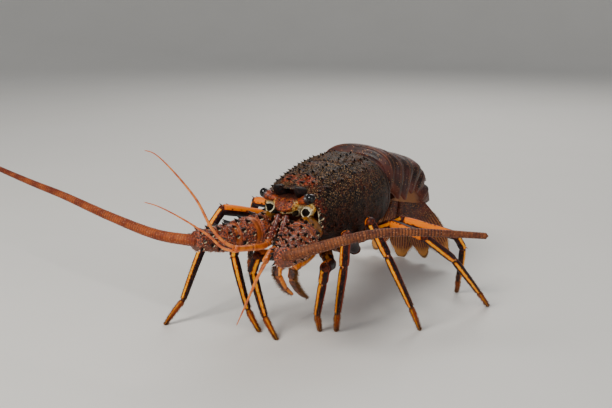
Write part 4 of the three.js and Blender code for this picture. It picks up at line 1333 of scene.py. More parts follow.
def ringed_whip(name, points, radius_at, pitch, finish, slot, replaces, downy=0.0):
    """A tapering whip of short rings, each with a raised edge. Those of the antennae have rows of
    fine spinules."""
    spined = slot == "antennae"
    rough = curve(points, 200)
    length = np.linalg.norm(np.diff(rough, axis=0), axis=1).sum()
    rows = int(length / pitch * 4)
    line = curve(points, rows)
    t = np.linspace(0, 1, rows)
    run = t * length
    phase = run / pitch % 1.0
    girth = radius_at(t)
    edge = 0.05 * (phase ** 3 - 0.3) * np.clip(girth / 2, 0.3, 1)
    ends = ease(t, -0.002, 0.004) * (1 - 0.7 * ease(t, 1 - 1.5 / length, 1.0))
    girth = girth * (1 + edge) * ends
    rings = rings_along(line, girth, girth, Z, 18 if spined else 10)
    shape = Shape().loft(rings, phase=phase[:, None], downy=downy)
    shape.piece(name, finish, slot, replaces)
    if not spined:
        return
    draw = np.random.default_rng(17)
    thorns = Thorns()
    for at in np.arange(6.0, length - 2, pitch):
        for turned in np.arange(0, 360, 36):
            if draw.random() < 0.55:
                continue
            angle = math.radians(turned + draw.uniform(-9, 9))
            foot, out, ahead = surface_at(rings, line, at / length, angle % TURN)
            size = np.clip(radius_at(at / length) / 4, 0.3, 1) * draw.uniform(0.6, 1.1)
            thorns.add(foot - out * 0.1, out + 1.6 * ahead, 1.5 * size, 0.3 * size, 0.0)
    thorns.piece(name + "_spinules", SMALL_SPINE, SPINULE_FINISH, "antennae", 0.2, 4)


def whips():
    """The right whip tapers to a fine tip. The left one ends as a downy stub."""
    for word, points, tip, power, replaces, downy in (
        ("right", RIGHT_WHIP, 0.5, 0.8, ["whip_right_1", "whip_right_2"], 0.0),
        ("left", LEFT_WHIP, 2.1, 0.7, ["whip_left"], 0.8),
    ):
        ringed_whip(
            "whip_%s_rings" % word,
            points,
            lambda t, tip=tip, power=power: lerp(FLAGELLUM_RADIUS, tip, t**power),
            RING_PITCH,
            WHIP_FINISH,
            "antennae",
            replaces,
            downy,
        )


ANTENNULES = {
    "right": {
        "stalk": [[-3.3, -9, 92.5], [-3, -17, 83], [-1.5, -28, 76], [-2.6, -46, 78], [-4.7, -65, 81.6]],
        "outer": [[-9.5, -70, 87], [-16, -74, 97.5], [-25, -79, 118], [-47, -91, 147], [-53.5, -94, 149.5]],
        "inner": [[-10, -69.5, 83.5], [-17, -74.5, 91], [-32, -83, 103], [-47, -91, 112], [-55, -95, 114.6]],
    },
    "left": {
        "stalk": [[3.3, -9, 92.5], [4.6, -17, 83], [7.6, -28, 76], [11.6, -45, 76.5], [17, -59.5, 75]],
        "outer": [[14, -64, 66], [8.5, -67.5, 50], [3.5, -69, 38], [-0.5, -69.6, 29]],
        "inner": [[22, -67, 77.5], [34, -89, 84], [51, -119, 91]],
    },
}
STALK_GAP = 1.35


def antennule(word, stalk, outer, inner):
    """A stalk of three slender segments that carries two thin ringed whips"""
    rise = 1 if word == "right" else -1
    line = curve(stalk, 120)
    away = unit(line[-1] - line[-2])
    t = np.linspace(0, 1, 120)
    joints = 0.62 * hump(t, 0.42, 0.012) + 0.62 * hump(t, 0.7, 0.012)
    swell = 0.35 * hump(t, 0.38, 0.04) + 0.35 * hump(t, 0.66, 0.04) + 0.4 * hump(t, 0.96, 0.04)
    girth = (2.35 - 0.2 * t + swell - joints) * (1 - 0.6 * ease(t, 0.985, 1.0))
    rings = rings_along(line, girth, girth * 0.92, Z, 28)
    name = "antennule_" + word
    red = 1 - ease(t, 0.3, 0.46)
    shape = Shape().loft(rings, joint=(joints > 0.2)[:, None], red=red[:, None])
    shape.piece(name + "_stalk", ANTENNULE_FINISH, "antennules", [name])
    draw = np.random.default_rng(75)
    small = Thorns()
    for _ in range(150):
        foot, out, ahead = surface_at(rings, line, draw.uniform(0.02, 0.38), draw.uniform(0, TURN))
        size = draw.uniform(0.3, 1.0)
        small.add(foot - out * 0.1, out + 0.8 * ahead, 0.5 + size, 0.25 + 0.3 * size, draw.random())
    small.piece(name + "_granules", SMALL_SPINE, GRANULE_FINISH, "antennules", 0.2, 9)
    up = unit(np.cross(X, away))
    up = up * (1 if up[2] > 0 else -1)
    for part, points, radius, side in (("outer", outer, 1.2, rise), ("inner", inner, 0.95, -rise)):
        moved = np.array([stalk[-1], *points], float)
        for i in (0, 1):
            moved[i] += up * side * STALK_GAP * (1 - i / 2)
        ringed_whip(
            "%s_%s_rings" % (name, part),
            moved,
            lambda t, radius=radius: lerp(radius, 0.3, t**1.4),
            1.2,
            ANTENNULE_FINISH,
            "antennules",
            ["%s_%s" % (name, part)],
        )


# Walking legs, mouthparts and the plate they grow from

# The left root and the girth of each pair of legs, from the front pair to the rear one
LEG_ROOTS = [[9, 36, 57], [12, 50, 57], [15, 64, 57], [17, 78, 57], [19, 92, 57]]
LEG_GIRTHS = [1.05, 1.05, 1.0, 0.95, 0.85]
# Hip, knee, wrist, ankle and foot of each leg
LEGS = {
    "left": [
        [[24, 20, 51], [34.5, -8, 58], [29, -1, 45], [19, 8, 14], [20.3, 10.5, 0]],
        [[35, 38, 60], [46.3, 1, 81], [43.6, 3.6, 58], [33.5, 13.5, 16], [30.8, 16.6, 0]],
        [[43, 50, 70], [58, 16.7, 89], [66.6, 27, 63.2], [79.8, 43.6, 19.8], [85, 50, 0]],
        [[48, 76, 72], [83.3, 56, 72], [96.3, 84.8, 48.6], [109, 112, 15], [113.8, 124, 0]],
        [[48, 95, 71], [89, 109, 60], [92, 118, 48], [83, 136, 13], [79.8, 142, 0]],
    ],
    "right": [
        [[-21, 20, 51], [-18, -16, 60.5], [-23, -15.5, 48], [-11, -17.5, 15], [1, -20, 0]],
        [[-33, 36, 57], [-43, -6.5, 70], [-46.5, -5, 54], [-31, -10, 14], [-18, -14, 0]],
        [[-44, 48, 72], [-66, 9, 84], [-70, -3, 71], [-80, -27, 18], [-89, -39, 0]],
        [[-47, 76, 72], [-78, 74, 75], [-86, 80, 58], [-97, 92, 15], [-101, 97, 0]],
        [[-46, 95, 70], [-74, 118, 62], [-77, 130, 49], [-76, 155, 13], [-75, 161, 0]],
    ],
}
LEG_SIDES = 40


def limb_segment(shape, a, b, dorsal, sizes, bow=0.0, rows=46, round_end=0.05, **marks):
    """One rounded segment of a limb from a to b; its ring turns start from the dorsal side"""
    t = 0.5 - 0.5 * np.cos(np.linspace(0, np.pi, rows))
    line = lerp(a, b, t[:, None]) + np.outer(bow * np.sin(np.pi * t), dorsal)
    girth = profile([0, 0.14, 0.5, 0.86, 1], sizes)(t)
    past = np.clip((np.abs(t - 0.5) - 0.5 + round_end) / round_end, 0, 1)
    girth = girth * np.sqrt(np.clip(1 - past**2, 0.02, 1))
    rings = rings_along(line, girth, girth * 0.94, dorsal, LEG_SIDES)
    angle = turns(LEG_SIDES)[None, :]
    c, s = np.cos(angle), np.sin(angle)
    mid = ease(t, 0.05, 0.2)[:, None] * (1 - ease(t, 0.8, 0.95))[:, None]
    rings = swollen(rings, -0.05 * girth[:, None] * hump(np.abs(np.arctan2(s, c)), 0.72, 0.16) * mid)
    rings[..., 2] = np.maximum(rings[..., 2], 0.0)
    shape.loft(rings, top=c, front=s, run=t[:, None], **marks)
    return line, rings


def limb_joint(shape, middle, axis, radius, dorsal):
    """The soft bulge between two segments"""
    t = np.linspace(0.08, 0.92, 16)
    line = middle + np.outer(-np.cos(np.pi * t), axis) * radius
    girth = radius * np.sin(np.pi * t) ** 0.7
    shape.loft(rings_along(line, girth, girth, dorsal, 24), soft=1.0)


# Part, place along it, turn from its upper side, length and radius of each spine of a leg
LEG_SPINES = [
    ("merus", 0.94, 0, 4.2, 1.3),
    ("merus", 0.955, 55, 2.4, 0.9),
    ("merus", 0.955, -55, 2.4, 0.9),
    ("merus", 0.8, 0, 2.0, 0.8),
    ("carpus", 0.9, 0, 3.0, 1.0),
    ("carpus", 0.9, 70, 1.6, 0.7),
    ("ischium", 0.85, 0, 1.8, 0.8),
    ("basis", 0.8, 20, 2.2, 0.9),
    ("coxa", 0.82, -30, 2.6, 1.1),
    ("coxa", 0.82, 40, 2.2, 1.0),
]


def leg(word, sign, number):
    """A walking leg of seven segments with stripes along it, a spined knee and a bristly foot"""
    name = "leg_%s_%d" % (word, number + 1)
    girth = LEG_GIRTHS[number]
    root = mirrored(LEG_ROOTS[number], sign)
    hip, knee, wrist, ankle, foot = np.array(LEGS[word][number], float)
    across = unit(np.cross(hip - knee, foot - knee))
    if across @ np.array([-sign, -0.6, 0]) < 0:
        across = -across
    bend = knee - (hip + foot) / 2

    def dorsal_of(a, b):
        way = unit(np.cross(across, unit(b - a)))
        return way if way @ bend > 0 else -way

    shape = Shape()
    parts = [
        ("coxa", lerp(root, hip, -0.05), lerp(root, hip, 0.4), [5.0, 5.4, 5.2, 5.3, 4.9], 0.0),
        ("basis", lerp(root, hip, 0.4), lerp(root, hip, 0.66), [4.4, 4.7, 4.5, 4.6, 4.2], 0.0),
        ("ischium", lerp(root, hip, 0.65), lerp(root, hip, 1.03), [3.9, 4.1, 4.0, 4.3, 4.0], 0.0),
        ("merus", hip, lerp(hip, knee, 1.03), [3.7, 4.3, 4.15, 4.5, 4.3], 0.7),
        ("carpus", lerp(knee, wrist, -0.04), lerp(knee, wrist, 1.0), [3.3, 3.7, 3.7, 3.8, 3.5], 0.3),
        ("propodus", wrist, lerp(wrist, ankle, 1.0), [2.9, 3.3, 3.05, 2.65, 2.4], 0.5),
        ("dactyl", ankle, foot, [1.9, 2.15, 1.95, 1.45, 0.95], 0.4),
    ]
    kept = {}
    for part, a, b, sizes, bow in parts:
        dorsal = dorsal_of(a, b)
        front = across @ np.cross(unit(b - a), dorsal)
        striped = {"coxa": 0.0, "basis": 0.0, "ischium": 0.6, "dactyl": 0.8}.get(part, 1.0)
        kept[part] = limb_segment(
            shape,
            a,
            b,
            dorsal,
            np.array(sizes) * girth,
            bow,
            round_end=0.10 if part in ("coxa", "basis") else 0.05,
            striped=striped,
            near=float(np.sign(front)),
            foot=1.0 if part == "dactyl" else 0.0,
            broad=1.0 if part == "merus" else 0.0,
            hip=1.0 if part in ("coxa", "basis") else 0.0,
        )
    for (_, a, b, sizes, _), (_, c, _, others, _) in zip(parts, parts[1:]):
        bulge = 0.86 * min(sizes[-2], others[1]) * girth
        limb_joint(shape, (b + c) / 2, unit(b - a), bulge, dorsal_of(a, b))
    shape.piece(name + "_shell", LEG_FINISH, "legs", [name + "_upper", name + "_lower"])
    thorns = Thorns()
    for part, t, degrees, length, radius in LEG_SPINES:
        line, rings = kept[part]
        out_foot, out, ahead = surface_at(rings, line, t, math.radians(degrees) % TURN)
        thorns.add(out_foot - out * 0.2, out * 0.8 + ahead, length * girth, radius * girth, 0.6)
    thorns.piece(name + "_spines", STOUT_SPINE, LEG_SPINE_FINISH, "legs")
    leg_bristles(name, kept, number if sign > 0 else number + 5)


FOOT_BRISTLES = 640
SHANK_BRISTLES = 260


def leg_bristles(name, kept, order):
    """Stiff bristles in rows round the foot, and sparse ones over the shank above it"""
    draw = np.random.default_rng(60 + order)
    roots, aims, lengths, flat = [], [], [], []
    for part, count, low, reach, shift in (
        ("dactyl", FOOT_BRISTLES, 0.05, 1.9, 0.4),
        ("propodus", SHANK_BRISTLES, 0.45, 1.5, 0.0),
    ):
        line, rings = kept[part]
        for _ in range(count):
            t = low + (0.93 - low) * draw.random() ** 0.9
            angle = (draw.integers(0, 10) + 0.5 * draw.random()) / 10 * TURN
            root, out, ahead = surface_at(rings, line, t, angle)
            roots.append(root)
            aims.append(out * 0.7 + ahead * 1.0 + 0.15 * draw.normal(size=3))
            lengths.append(reach * draw.uniform(0.6, 1.1))
            flat.append([(order + 0.1 + 0.4 * t + shift) / 10, angle / TURN])
    lengths = np.minimum(lengths, np.maximum(np.array(roots)[:, 2] * 0.9, 0.3))
    coat = (roots, aims, lengths, 0.1, flat, LEG_BRISTLE_FINISH)
    bristles(name + "_bristles", *coat, "legs", 0.1, 70 + order)


FOOTJAW_LINE = [
    [4.6, 29, 57],
    [6, 14, 53],
    [7, 2, 54],
    [6.5, -5.5, 52],
    [6, -7, 45],
    [6, -2, 36],
    [6, 8, 28],
    [5.5, 14, 23.5],
]


def footjaw(word, sign):
    """The third footjaw: folded forward under the mouth and then hanging, brushed along its edge"""
    p = mirrored(FOOTJAW_LINE, sign)
    shape = Shape()
    kept = []
    for a, b, sizes, dorsal in (
        (p[0], lerp(p[1], p[2], 0.95), [3.0, 3.9, 4.3, 3.9, 3.3], -Z),
        (p[2], p[3] + [0, -0.6, 0.4], [3.0, 3.5, 3.5, 3.2, 2.8], -Y - 0.3 * Z),
        (p[3], p[4], [2.6, 3.2, 3.3, 3.2, 2.8], -Y),
        (p[4], lerp(p[5], p[6], 0.5), [2.5, 3.1, 3.0, 2.6, 2.1], -Y - 0.4 * Z),
        (lerp(p[5], p[6], 0.5), p[7], [2.0, 2.2, 1.8, 1.2, 0.7], -Y - 0.4 * Z),
    ):
        kept.append(limb_segment(shape, a, b, unit(dorsal), sizes, 0.3, 30, 0.1, near=float(sign)))
    for first, second in zip(kept, kept[1:]):
        limb_joint(shape, second[0][0], unit(first[0][-1] - first[0][-4]), 2.1, X)
    name = "maxilliped_" + word
    shape.piece(name + "_shell", FOOTJAW_FINISH, "mouthparts", [name])
    draw = np.random.default_rng(90)
    roots, aims, flat = [], [], []
    for part, (line, rings) in enumerate(kept):
        for _ in range(300):
            t, side = draw.uniform(0.08, 0.95), draw.normal(-sign * 1.5, 0.35)
            root, out, ahead = surface_at(rings, line, t, side % TURN)
            roots.append(root)
            aims.append(out + 0.5 * ahead + 0.2 * draw.normal(size=3))
            flat.append([(part + t) / 5, 0.5 + side / TURN * 0.9])
    lengths = draw.uniform(1.6, 3.4, len(roots))
    coat = (roots, aims, lengths, 0.09, flat, LEG_BRISTLE_FINISH)
    bristles(name + "_brush", *coat, "mouthparts", 0.3, 91)


LUMP_SIZE = 2.5


def blob(shape, points, heights, widths, sides=36, rows=40, lump=0.25, **marks):
    """A rounded form along a smooth line"""
    line = curve(points, rows)
    t = np.linspace(0, 1, rows)
    places = np.linspace(0, 1, len(heights))
    ends = np.sqrt(np.clip(1 - (2 * t - 1) ** 12, 0.01, 1))
    high, wide = profile(places, heights)(t) * ends, profile(places, widths)(t) * ends
    rings = rings_along(line, high, wide, Z, sides)
    rings = swollen(rings, lump * roughness_at(rings, LUMP_SIZE, LUMP_SIZE))
    shape.loft(rings, run=t[:, None], **marks)


def mouth():
    """Upper lip, jaws with their palps, and the two inner pairs of footjaws"""
    shape = Shape()
    lip = [[0, -4, 73], [0, 3, 74], [0, 14, 74], [0, 26, 70]]
    blob(shape, lip, [2.5, 4.5, 5.5, 5], [4, 9, 12, 11], 60, 50, 0.4)
    blob(shape, [[0, -6.5, 70.5], [0, -3, 67.5], [0, 2, 65.5]], [1.6, 2.6, 2.0], [3.6, 5.5, 4.5], soft=0.4)
    for _, sign in SIDES:
        jaw = mirrored([[11, 9, 70], [8, 3.5, 66.5], [4.2, 1.5, 64.5], [0.9, 1.6, 64.4]], sign)
        blob(shape, jaw, [3.4, 4.4, 4.0, 2.0], [4.2, 5.0, 4.2, 1.6], lump=0.15, hard=1.0)
        palp = mirrored([[7.5, 0.5, 70], [5, -3.6, 69.2], [1.8, -4.6, 68.4]], sign)
        blob(shape, palp, [1.3, 1.5, 0.7], [1.1, 1.3, 0.6], 20, 24, 0.05)
        for depth, reach in ((0.0, 1.0), (4.5, 0.8)):
            inner = [
                [9 - depth * 0.4, 20, 60 + depth * 0.4],
                [9.5, 6, 57.5 + depth],
                [7.5, -2 * reach, 57 + depth],
                [4, -1, 55.5 + depth],
            ]
            outer = [
                [12, 18, 62 + depth],
                [13.5, 6, 60 + depth],
                [13, -3 * reach, 61 + depth],
                [9.5, -8 * reach, 63 + depth],
            ]
            blob(shape, mirrored(inner, sign), [2.0, 2.4, 2.0, 0.8], [1.6, 2.0, 1.6, 0.6], 24, 30, 0.1)
            slim = [1.3, 1.2, 0.9, 0.3]
            blob(shape, mirrored(outer, sign), slim, slim, 16, 36, 0.03)
    shape.piece("mouth_shell", MOUTH_FINISH, "mouthparts", ["mouth"])


STERNUM_PLACES = [27, 45, 70, 98]
LEG_SPACING = 14


def sternum():
    """The plate under the body that the legs grow from, ridged between each pair"""
    y = np.linspace(25, STERNUM_REAR + 1, 90)[:, None]
    half = profile(STERNUM_PLACES, [8, 11, 17, 22])(y)
    low = profile(STERNUM_PLACES, [55, 52.5, 51.5, 52.5])(y)
    high = profile(STERNUM_PLACES, [68, 67, 66, 66])(y)
    angle = turns(70)[None, :]
    s, c = np.sin(angle), np.cos(angle)
    x = half * rounded(s, 0.6)
    z = (low + high) / 2 + (high - low) / 2 * rounded(c, 0.6)
    rings = np.stack(np.broadcast_arrays(x, y, z), -1)
    wave = np.cos((y - LEG_ROOTS[0][1]) / LEG_SPACING * TURN)
    bands = 0.8 * wave + 0.3 * roughness_at(rings, 2.4)
    knobs = 1.2 * hump(np.abs(x), half * 0.55, 2.2) * hump(wave, 1, 0.4)
    rings = swollen(rings, (bands + knobs) * ease(-c, 0.1, 0.7))
    Shape().loft(rings, soft=0.3).piece("sternum_shell", MOUTH_FINISH, "sternum", ["sternum"])


# Abdomen and tail fan

BACK_LINE = [
    [101, 118.5],
    [109, 124.5],
    [120, 123],
    [133, 117.5],
    [150, 113],
    [168, 108.5],
    [184, 101.5],
    [198, 90.5],
    [208, 77],
    [213, 62],
]
# Length, half width, depth and reach of the side points of each segment
ABDOMEN = [
    (13, 30.5, 36, 5),
    (21, 33, 36, 11),
    (22, 33.5, 35, 12),
    (22, 32.5, 33, 11),
    (21, 30.5, 29, 10),
    (24, 28, 25, 7),
]
ABDOMEN_LENGTH = sum(segment[0] for segment in ABDOMEN)
ABDOMEN_CURL = 1.5
BACK_CURVE = curve([[0, y, z] for y, z in BACK_LINE], 400)
STEP_PLACES = [0, 0.12, 0.2, 0.3, 0.38, 0.46, 0.66, 0.9, 0.97, 1]
STEP_RAISED = [-1.6, -1.2, -1.3, -1.9, -1.2, 0.6, 1.0, 0.95, 0.6, -0.6]
STEP_REACH = [0, 0.1, 0.2, 0.45, 0.6, 0.8, 1, 0.35, 0.1, 0]


def back_frame(share):
    """A point of the back line, the way along it and the way down from it"""
    share = np.clip(share, 0, 1)
    curl = ABDOMEN_CURL * share**1.1
    point = at_share(BACK_CURVE, share)
    along = np.stack([0 * curl, np.cos(curl), -np.sin(curl)], -1)
    down = np.stack([0 * curl, -np.sin(curl), -np.cos(curl)], -1)
    return point, along, down


def abdomen_rings(i, rows=64, sides=150):
    length, half, depth, spur = ABDOMEN[i]
    _, next_half, next_depth, _ = ABDOMEN[min(i + 1, len(ABDOMEN) - 1)]
    start = sum(segment[0] for segment in ABDOMEN[:i])
    t = np.linspace(0, 1, rows)
    point, along, down = (v[:, None] for v in back_frame((start + t * length) / ABDOMEN_LENGTH))
    half, depth = lerp(half, next_half, t)[:, None], lerp(depth, next_depth, t)[:, None]
    raised = profile(STEP_PLACES, STEP_RAISED)(t)[:, None]
    spur = (profile(STEP_PLACES, STEP_REACH)(t) * spur)[:, None]
    angle = turns(sides)[None, :]
    s, c = np.sin(angle), np.cos(angle)
    power = np.where(c > 0, 0.85, 0.7)
    span, drop = rounded(s, power), np.abs(c) ** power
    low = hump(np.abs(np.abs(angle - np.pi) - 1.15), 0, 0.34)
    shoulder = depth * 0.56
    inward = np.where(c > 0, shoulder - (shoulder + raised) * drop, shoulder + (depth - shoulder) * drop)
    rings = point + X * (span * (half + raised) + np.sign(s) * low * spur * 0.12)[..., None]
    rings = rings + down * (inward + low * spur)[..., None] + along * (low * spur * 0.35)[..., None]
    upper = ease(c, -0.35, 0.1)
    groove = 0.7 * hump(t[:, None], 0.62, 0.035) * upper * ease(np.abs(s), 0.12, 0.3)
    lumps = 0.15 * roughness_at(rings, 5.0, i) + 0.08 * roughness_at(rings, 1.8, 3.0)
    return swollen(rings, lumps - groove), t, angle


def abdomen(i):
    """One ring of the tail, with its groove and side points, swimming leaves and fringe"""
    rings, t, angle = abdomen_rings(i)
    s, c = np.sin(angle), np.cos(angle)
    groove = hump(t[:, None], 0.62, 0.05) * ease(c, -0.35, 0.1) * ease(np.abs(s), 0.12, 0.3)
    name = "abdomen_%d" % (i + 1)
    shape = Shape()
    shape.loft(
        rings,
        groove=groove,
        flank=ease(-c, -0.2, 0.6),
        edge=ease(t, 0.9, 0.97)[:, None],
        belly=ease(-c, 0.55, 0.85),
    )
    shape.piece(name + "_shell", ABDOMEN_FINISH, "abdomen", [name])
    draw = np.random.default_rng(120 + i)
    roots, aims, flat = [], [], []
    rows = len(rings)
    middle = rings.mean(1)
    for row, count in ((int(0.62 * rows), 520), (int(0.955 * rows), 620)):
        for _ in range(count):
            turned = draw.uniform(-2.0, 2.0)
            root, out, ahead = surface_at(rings, middle, row / (rows - 1), turned % TURN)
            roots.append(root)
            aims.append(0.35 * out + ahead + 0.15 * draw.normal(size=3))
            flat.append([(row + draw.random()) / rows, 0.5 + turned / (TURN + 0.2)])
    lengths = draw.uniform(0.8, 1.7, len(roots))
    coat = (roots, aims, lengths, 0.09, flat, BRISTLE_FINISH)
    bristles(name + "_fringe", *coat, "abdomen", 0.2, 121 + i)
    if 0 < i < len(ABDOMEN) - 1:
        swimming_leaves(i)


LEAF_LENGTH = 15.0
LEAF_ROWS = 30
LEAF_SIDES = 48


def swimming_leaves(i):
    """A pair of thin fringed leaves under the segment"""
    length, _, depth, _ = ABDOMEN[i]
    start = sum(segment[0] for segment in ABDOMEN[:i])
    point, along, down = back_frame((start + length / 2) / ABDOMEN_LENGTH)
    shape = Shape()
    roots, aims, flat = [], [], []
    draw = np.random.default_rng(140 + i)
    for _, sign in SIDES:
        root = point + down * (depth - 2) + X * sign * 14
        t = np.linspace(0, 1, LEAF_ROWS)
        half = profile([0, 0.35, 0.75, 1], [2.4, 5.2, 5.0, 1.2])(t)
        centre = root + np.outer(t * LEAF_LENGTH, down) + np.outer(3 * t * sign, X)
        angle = turns(LEAF_SIDES)[None, :, None]
        thick = (0.55 * (1 - 0.45 * t))[:, None, None]
        wave = 0.35 * np.sin(angle * 2 + t[:, None, None] * 5) * t[:, None, None]
        rings = centre[:, None] + half[:, None, None] * np.cos(angle) * X
        rings = rings + (thick * np.sin(angle) + wave * 0.5) * along
        shape.loft(rings, run=t[:, None])
        for _ in range(420):
            at, turned = draw.uniform(0.1, 1.0), draw.choice([0.0, np.pi]) + draw.normal(0, 0.15)
            row = int(at * (LEAF_ROWS - 1))
            foot = rings[row, int(turned / TURN * LEAF_SIDES) % LEAF_SIDES]
            roots.append(foot)
            aims.append(unit(foot - centre[row] + down * 1.5) + 0.1 * draw.normal(size=3))
            flat.append([(sign + 1) / 4 + at * 0.45, (turned % TURN) / TURN])
    shape.piece("swimming_leaves_%d" % (i + 1), LEAF_FINISH, "abdomen")
    lengths = draw.uniform(1.2, 2.4, len(roots))
    coat = (roots, aims, lengths, 0.08, flat, BRISTLE_FINISH)
    bristles("swimming_leaves_%d_fringe" % (i + 1), *coat, "abdomen", 0.2, 141 + i)


TAIL_FAN_LENGTH = 58.0
FAN_PLACES = [0, 0.14, 0.4, 0.68, 0.88, 1]
FAN_HALF = [0.36, 0.62, 0.9, 1, 0.86, 0.5]
FAN_THICK = [1, 1, 0.85, 0.6, 0.4, 0.3]
# Spread, lift, half width, share of the fan's length, thickness, rays and side of each plate
FAN_PLATES = {
    "telson": (0.0, 4.5, 13.0, 1.0, 2.6, 9, 0),
    "uropod_left_inner": (0.3, 8.6, 10.5, 0.95, 2.0, 8, 1),
    "uropod_right_inner": (0.3, 8.6, 10.5, 0.95, 2.0, 8, -1),
    "uropod_left_outer": (0.62, 12.4, 11.5, 1.0, 2.0, 8, 1),
    "uropod_right_outer": (0.62, 12.4, 11.5, 1.0, 2.0, 8, -1),
}


def turned_about_y(vector, angle):
    c, s = math.cos(angle), math.sin(angle)
    return np.array([vector[0] * c + vector[2] * s, vector[1], -vector[0] * s + vector[2] * c])


def fan_plate(name, spread, lift, half, length, thick, rays, sign):
    """A plate of the tail fan: hard and spiny near its root, rayed and leathery to its fringe"""
    end, end_along, end_down = back_frame(1.0)
    along = unit(turned_about_y(np.array([0, -0.02, -1.0]), -sign * spread))
    across = turned_about_y(X, -sign * spread)
    facing = unit(np.cross(across, along))
    root = end + end_down * lift + X * sign * (4 + 12 * spread) - 3 * end_along
    rows, columns = 80, 91
    t = np.linspace(0, 1, rows)[:, None]
    u = np.linspace(-1, 1, columns)[None, :]
    wide = profile(FAN_PLACES, FAN_HALF)(t) * half
    slim = profile(FAN_PLACES, FAN_THICK)(t)
    scallop = 0.35 * np.cos(u * np.pi * (rays + 1)) * ease(t, 0.8, 1.0)
    reach = t * TAIL_FAN_LENGTH * length + TAIL_FAN_LENGTH * length * 0.1 * t * (1 - u * u) + scallop
    ridge = 0.16 * np.cos(u * np.pi * (rays + 1)) * ease(t, 0.2, 0.42)
    fine = 0.05 * np.cos(u * np.pi * (rays + 1) * 4) * ease(t, 0.45, 0.6)
    high = thick * slim * (1 - 0.75 * u * u) * 0.5 + 0.22 + (ridge + fine) * (0.5 + 0.5 * slim)
    middle = root + along * reach[..., None] + across * (u * wide)[..., None]
    lumps = 0.14 * roughness_at(middle, 1.8, 2.0) * (1 - ease(t, 0.3, 0.5))
    front = middle + facing * (high + lumps)[..., None]
    back = middle - facing * high[..., None]
    rings = np.concatenate([front, back[:, ::-1]], 1)
    run = np.broadcast_to(t, (rows, 2 * columns))
    ray = np.broadcast_to(np.cos(u * np.pi * (rays + 1)), (rows, columns))
    ray = np.concatenate([ray, ray[:, ::-1]], 1)
    Shape().loft(rings, run=run, ray=ray).piece(name + "_shell", FAN_FINISH, "tail_fan", [name])
    thorns = Thorns()
    draw = np.random.default_rng(160)
    for _ in range(70):
        row, column = draw.integers(6, 32), draw.integers(8, columns - 8)
        face = draw.choice([1, -1])
        foot = (front if face > 0 else back)[row, column]
        thorns.add(foot, facing * face * 0.5 + along, draw.uniform(0.8, 1.8), draw.uniform(0.3, 0.55), 0.3)
    thorns.piece(name + "_spines", SMALL_SPINE, LEG_SPINE_FINISH, "tail_fan")
    roots, aims, flat = [], [], []
    for _ in range(1500):
        at = draw.uniform(0.0, 1.0)
        if draw.random() < 0.55:
            row, column = rows - 1, int(at * (columns - 1))
            aim = along
        else:
            row, column = int((0.4 + 0.6 * at) * (rows - 1)), draw.choice([0, columns - 1])
            aim = along * 0.9 + across * (1 if column else -1) * 0.7
        roots.append(middle[row, column])
        aims.append(aim + 0.12 * draw.normal(size=3))
        flat.append([row / rows, column / columns])
    roots = np.array(roots)
    lengths = np.minimum(draw.uniform(1.2, 2.6, len(roots)), np.maximum(roots[:, 2] - 0.4, 0.3))
    bristles(name + "_fringe", roots, aims, lengths, 0.09, flat, FRINGE_FINISH, "tail_fan", 0.1, 161)


# Floor, lights and camera

FLOOR_RADIUS = 2.0
SWEEP_RADIUS = 1.0
SWEEP_TURN = 1.45
FLAT_RINGS = 20
FLOOR_SIDES = 96


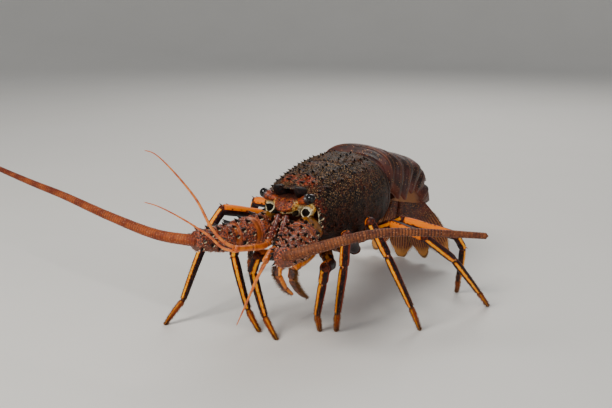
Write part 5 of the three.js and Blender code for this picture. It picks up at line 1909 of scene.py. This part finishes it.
def studio():
    """A round pale floor that sweeps up on every side of the animal"""
    bend = np.linspace(0, SWEEP_TURN, 16)[1:]
    sweep = FLOOR_RADIUS + SWEEP_RADIUS * np.sin(bend)
    out = np.concatenate([np.linspace(0.1, FLOOR_RADIUS, FLAT_RINGS), sweep])
    rise = np.concatenate([np.zeros(FLAT_RINGS), SWEEP_RADIUS * (1 - np.cos(bend))])
    angle = turns(FLOOR_SIDES)
    across, deep = out[:, None] * np.cos(angle), out[:, None] * np.sin(angle)
    points = np.stack(np.broadcast_arrays(across, deep, rise[:, None]), -1)
    rows, columns = points.shape[:2]
    k = np.arange(rows - 1)[:, None] * columns
    here, after = k + np.arange(columns), k + (np.arange(columns) + 1) % columns
    quads = np.stack([here, here + columns, after + columns, after], -1).reshape(-1, 4)
    mesh = bpy.data.meshes.new("studio_floor")
    mesh.from_pydata(points.reshape(-1, 3).tolist(), [], [*quads.tolist(), list(range(columns))])
    mesh.shade_smooth()
    finish = Finish("floor_pale", roughness=0.75)
    finish.give("Base Color", finish.tint(finish.clouds(160.0), "e2dfd8", "e8e5df"))
    mesh.materials.append(finish.material)
    floor = linked("studio_floor", mesh)


def aimed(held, place, direction):
    held.location = place
    held.rotation_mode = "QUATERNION"
    held.rotation_quaternion = direction.to_track_quat("-Z", "Y")


def soft_light(name, place, aim, size, watts, tint):
    lamp = bpy.data.lights.new(name, "AREA")
    lamp.size = size
    lamp.energy = watts
    lamp.color = tint
    aimed(linked(name, lamp), place, Vector(aim) - Vector(place))


def lights():
    head = placed([0, 0, 90])
    soft_light("key_light", head + [-0.25, -0.95, 0.95], head, 0.5, 17, (1.0, 0.97, 0.92))
    soft_light("fill_light", head + [1.1, -0.7, 0.5], head, 0.9, 5, (0.94, 0.97, 1.0))
    soft_light("back_light", head + [-0.3, 1.2, 1.0], head, 0.8, 9, (1.0, 0.98, 0.95))
    world = bpy.data.worlds.new("studio_air")
    world.use_nodes = True
    air = world.node_tree.nodes["Background"]
    air.inputs["Color"].default_value = (0.82, 0.85, 0.9, 1)
    air.inputs["Strength"].default_value = 0.32
    bpy.context.scene.world = world


def camera():
    lens = bpy.data.cameras.new("photo_camera")
    lens.lens = CAMERA_LENS
    lens.clip_start = 0.01
    held = linked("photo_camera", lens)
    aimed(held, placed(CAMERA_PLACE), Vector(CAMERA_AIM))
    bpy.context.scene.camera = held


studio()
camera()
lights()
carapace()
carapace_spines()
carapace_bristles()
face_plate()
for word, sign in SIDES:
    horn(word, sign)
    eye(word, sign)
    cheek(word, sign)
    great_spine(word, sign)
    for number in range(3):
        antenna_segment(word, sign, number)
    antenna_joint(word, sign, 1)
    antenna_joint(word, sign, 2)
    antenna_collar(word, sign)
    antennule(word, **ANTENNULES[word])
    footjaw(word, sign)
whips()
mouth()
sternum()
for word, sign in SIDES:
    for number in range(5):
        leg(word, sign, number)
for i in range(len(ABDOMEN)):
    abdomen(i)
for name, sizes in FAN_PLATES.items():
    fan_plate(name, *sizes)

for form in (STOUT_SPINE, SMALL_SPINE):
    bpy.data.objects.remove(form)
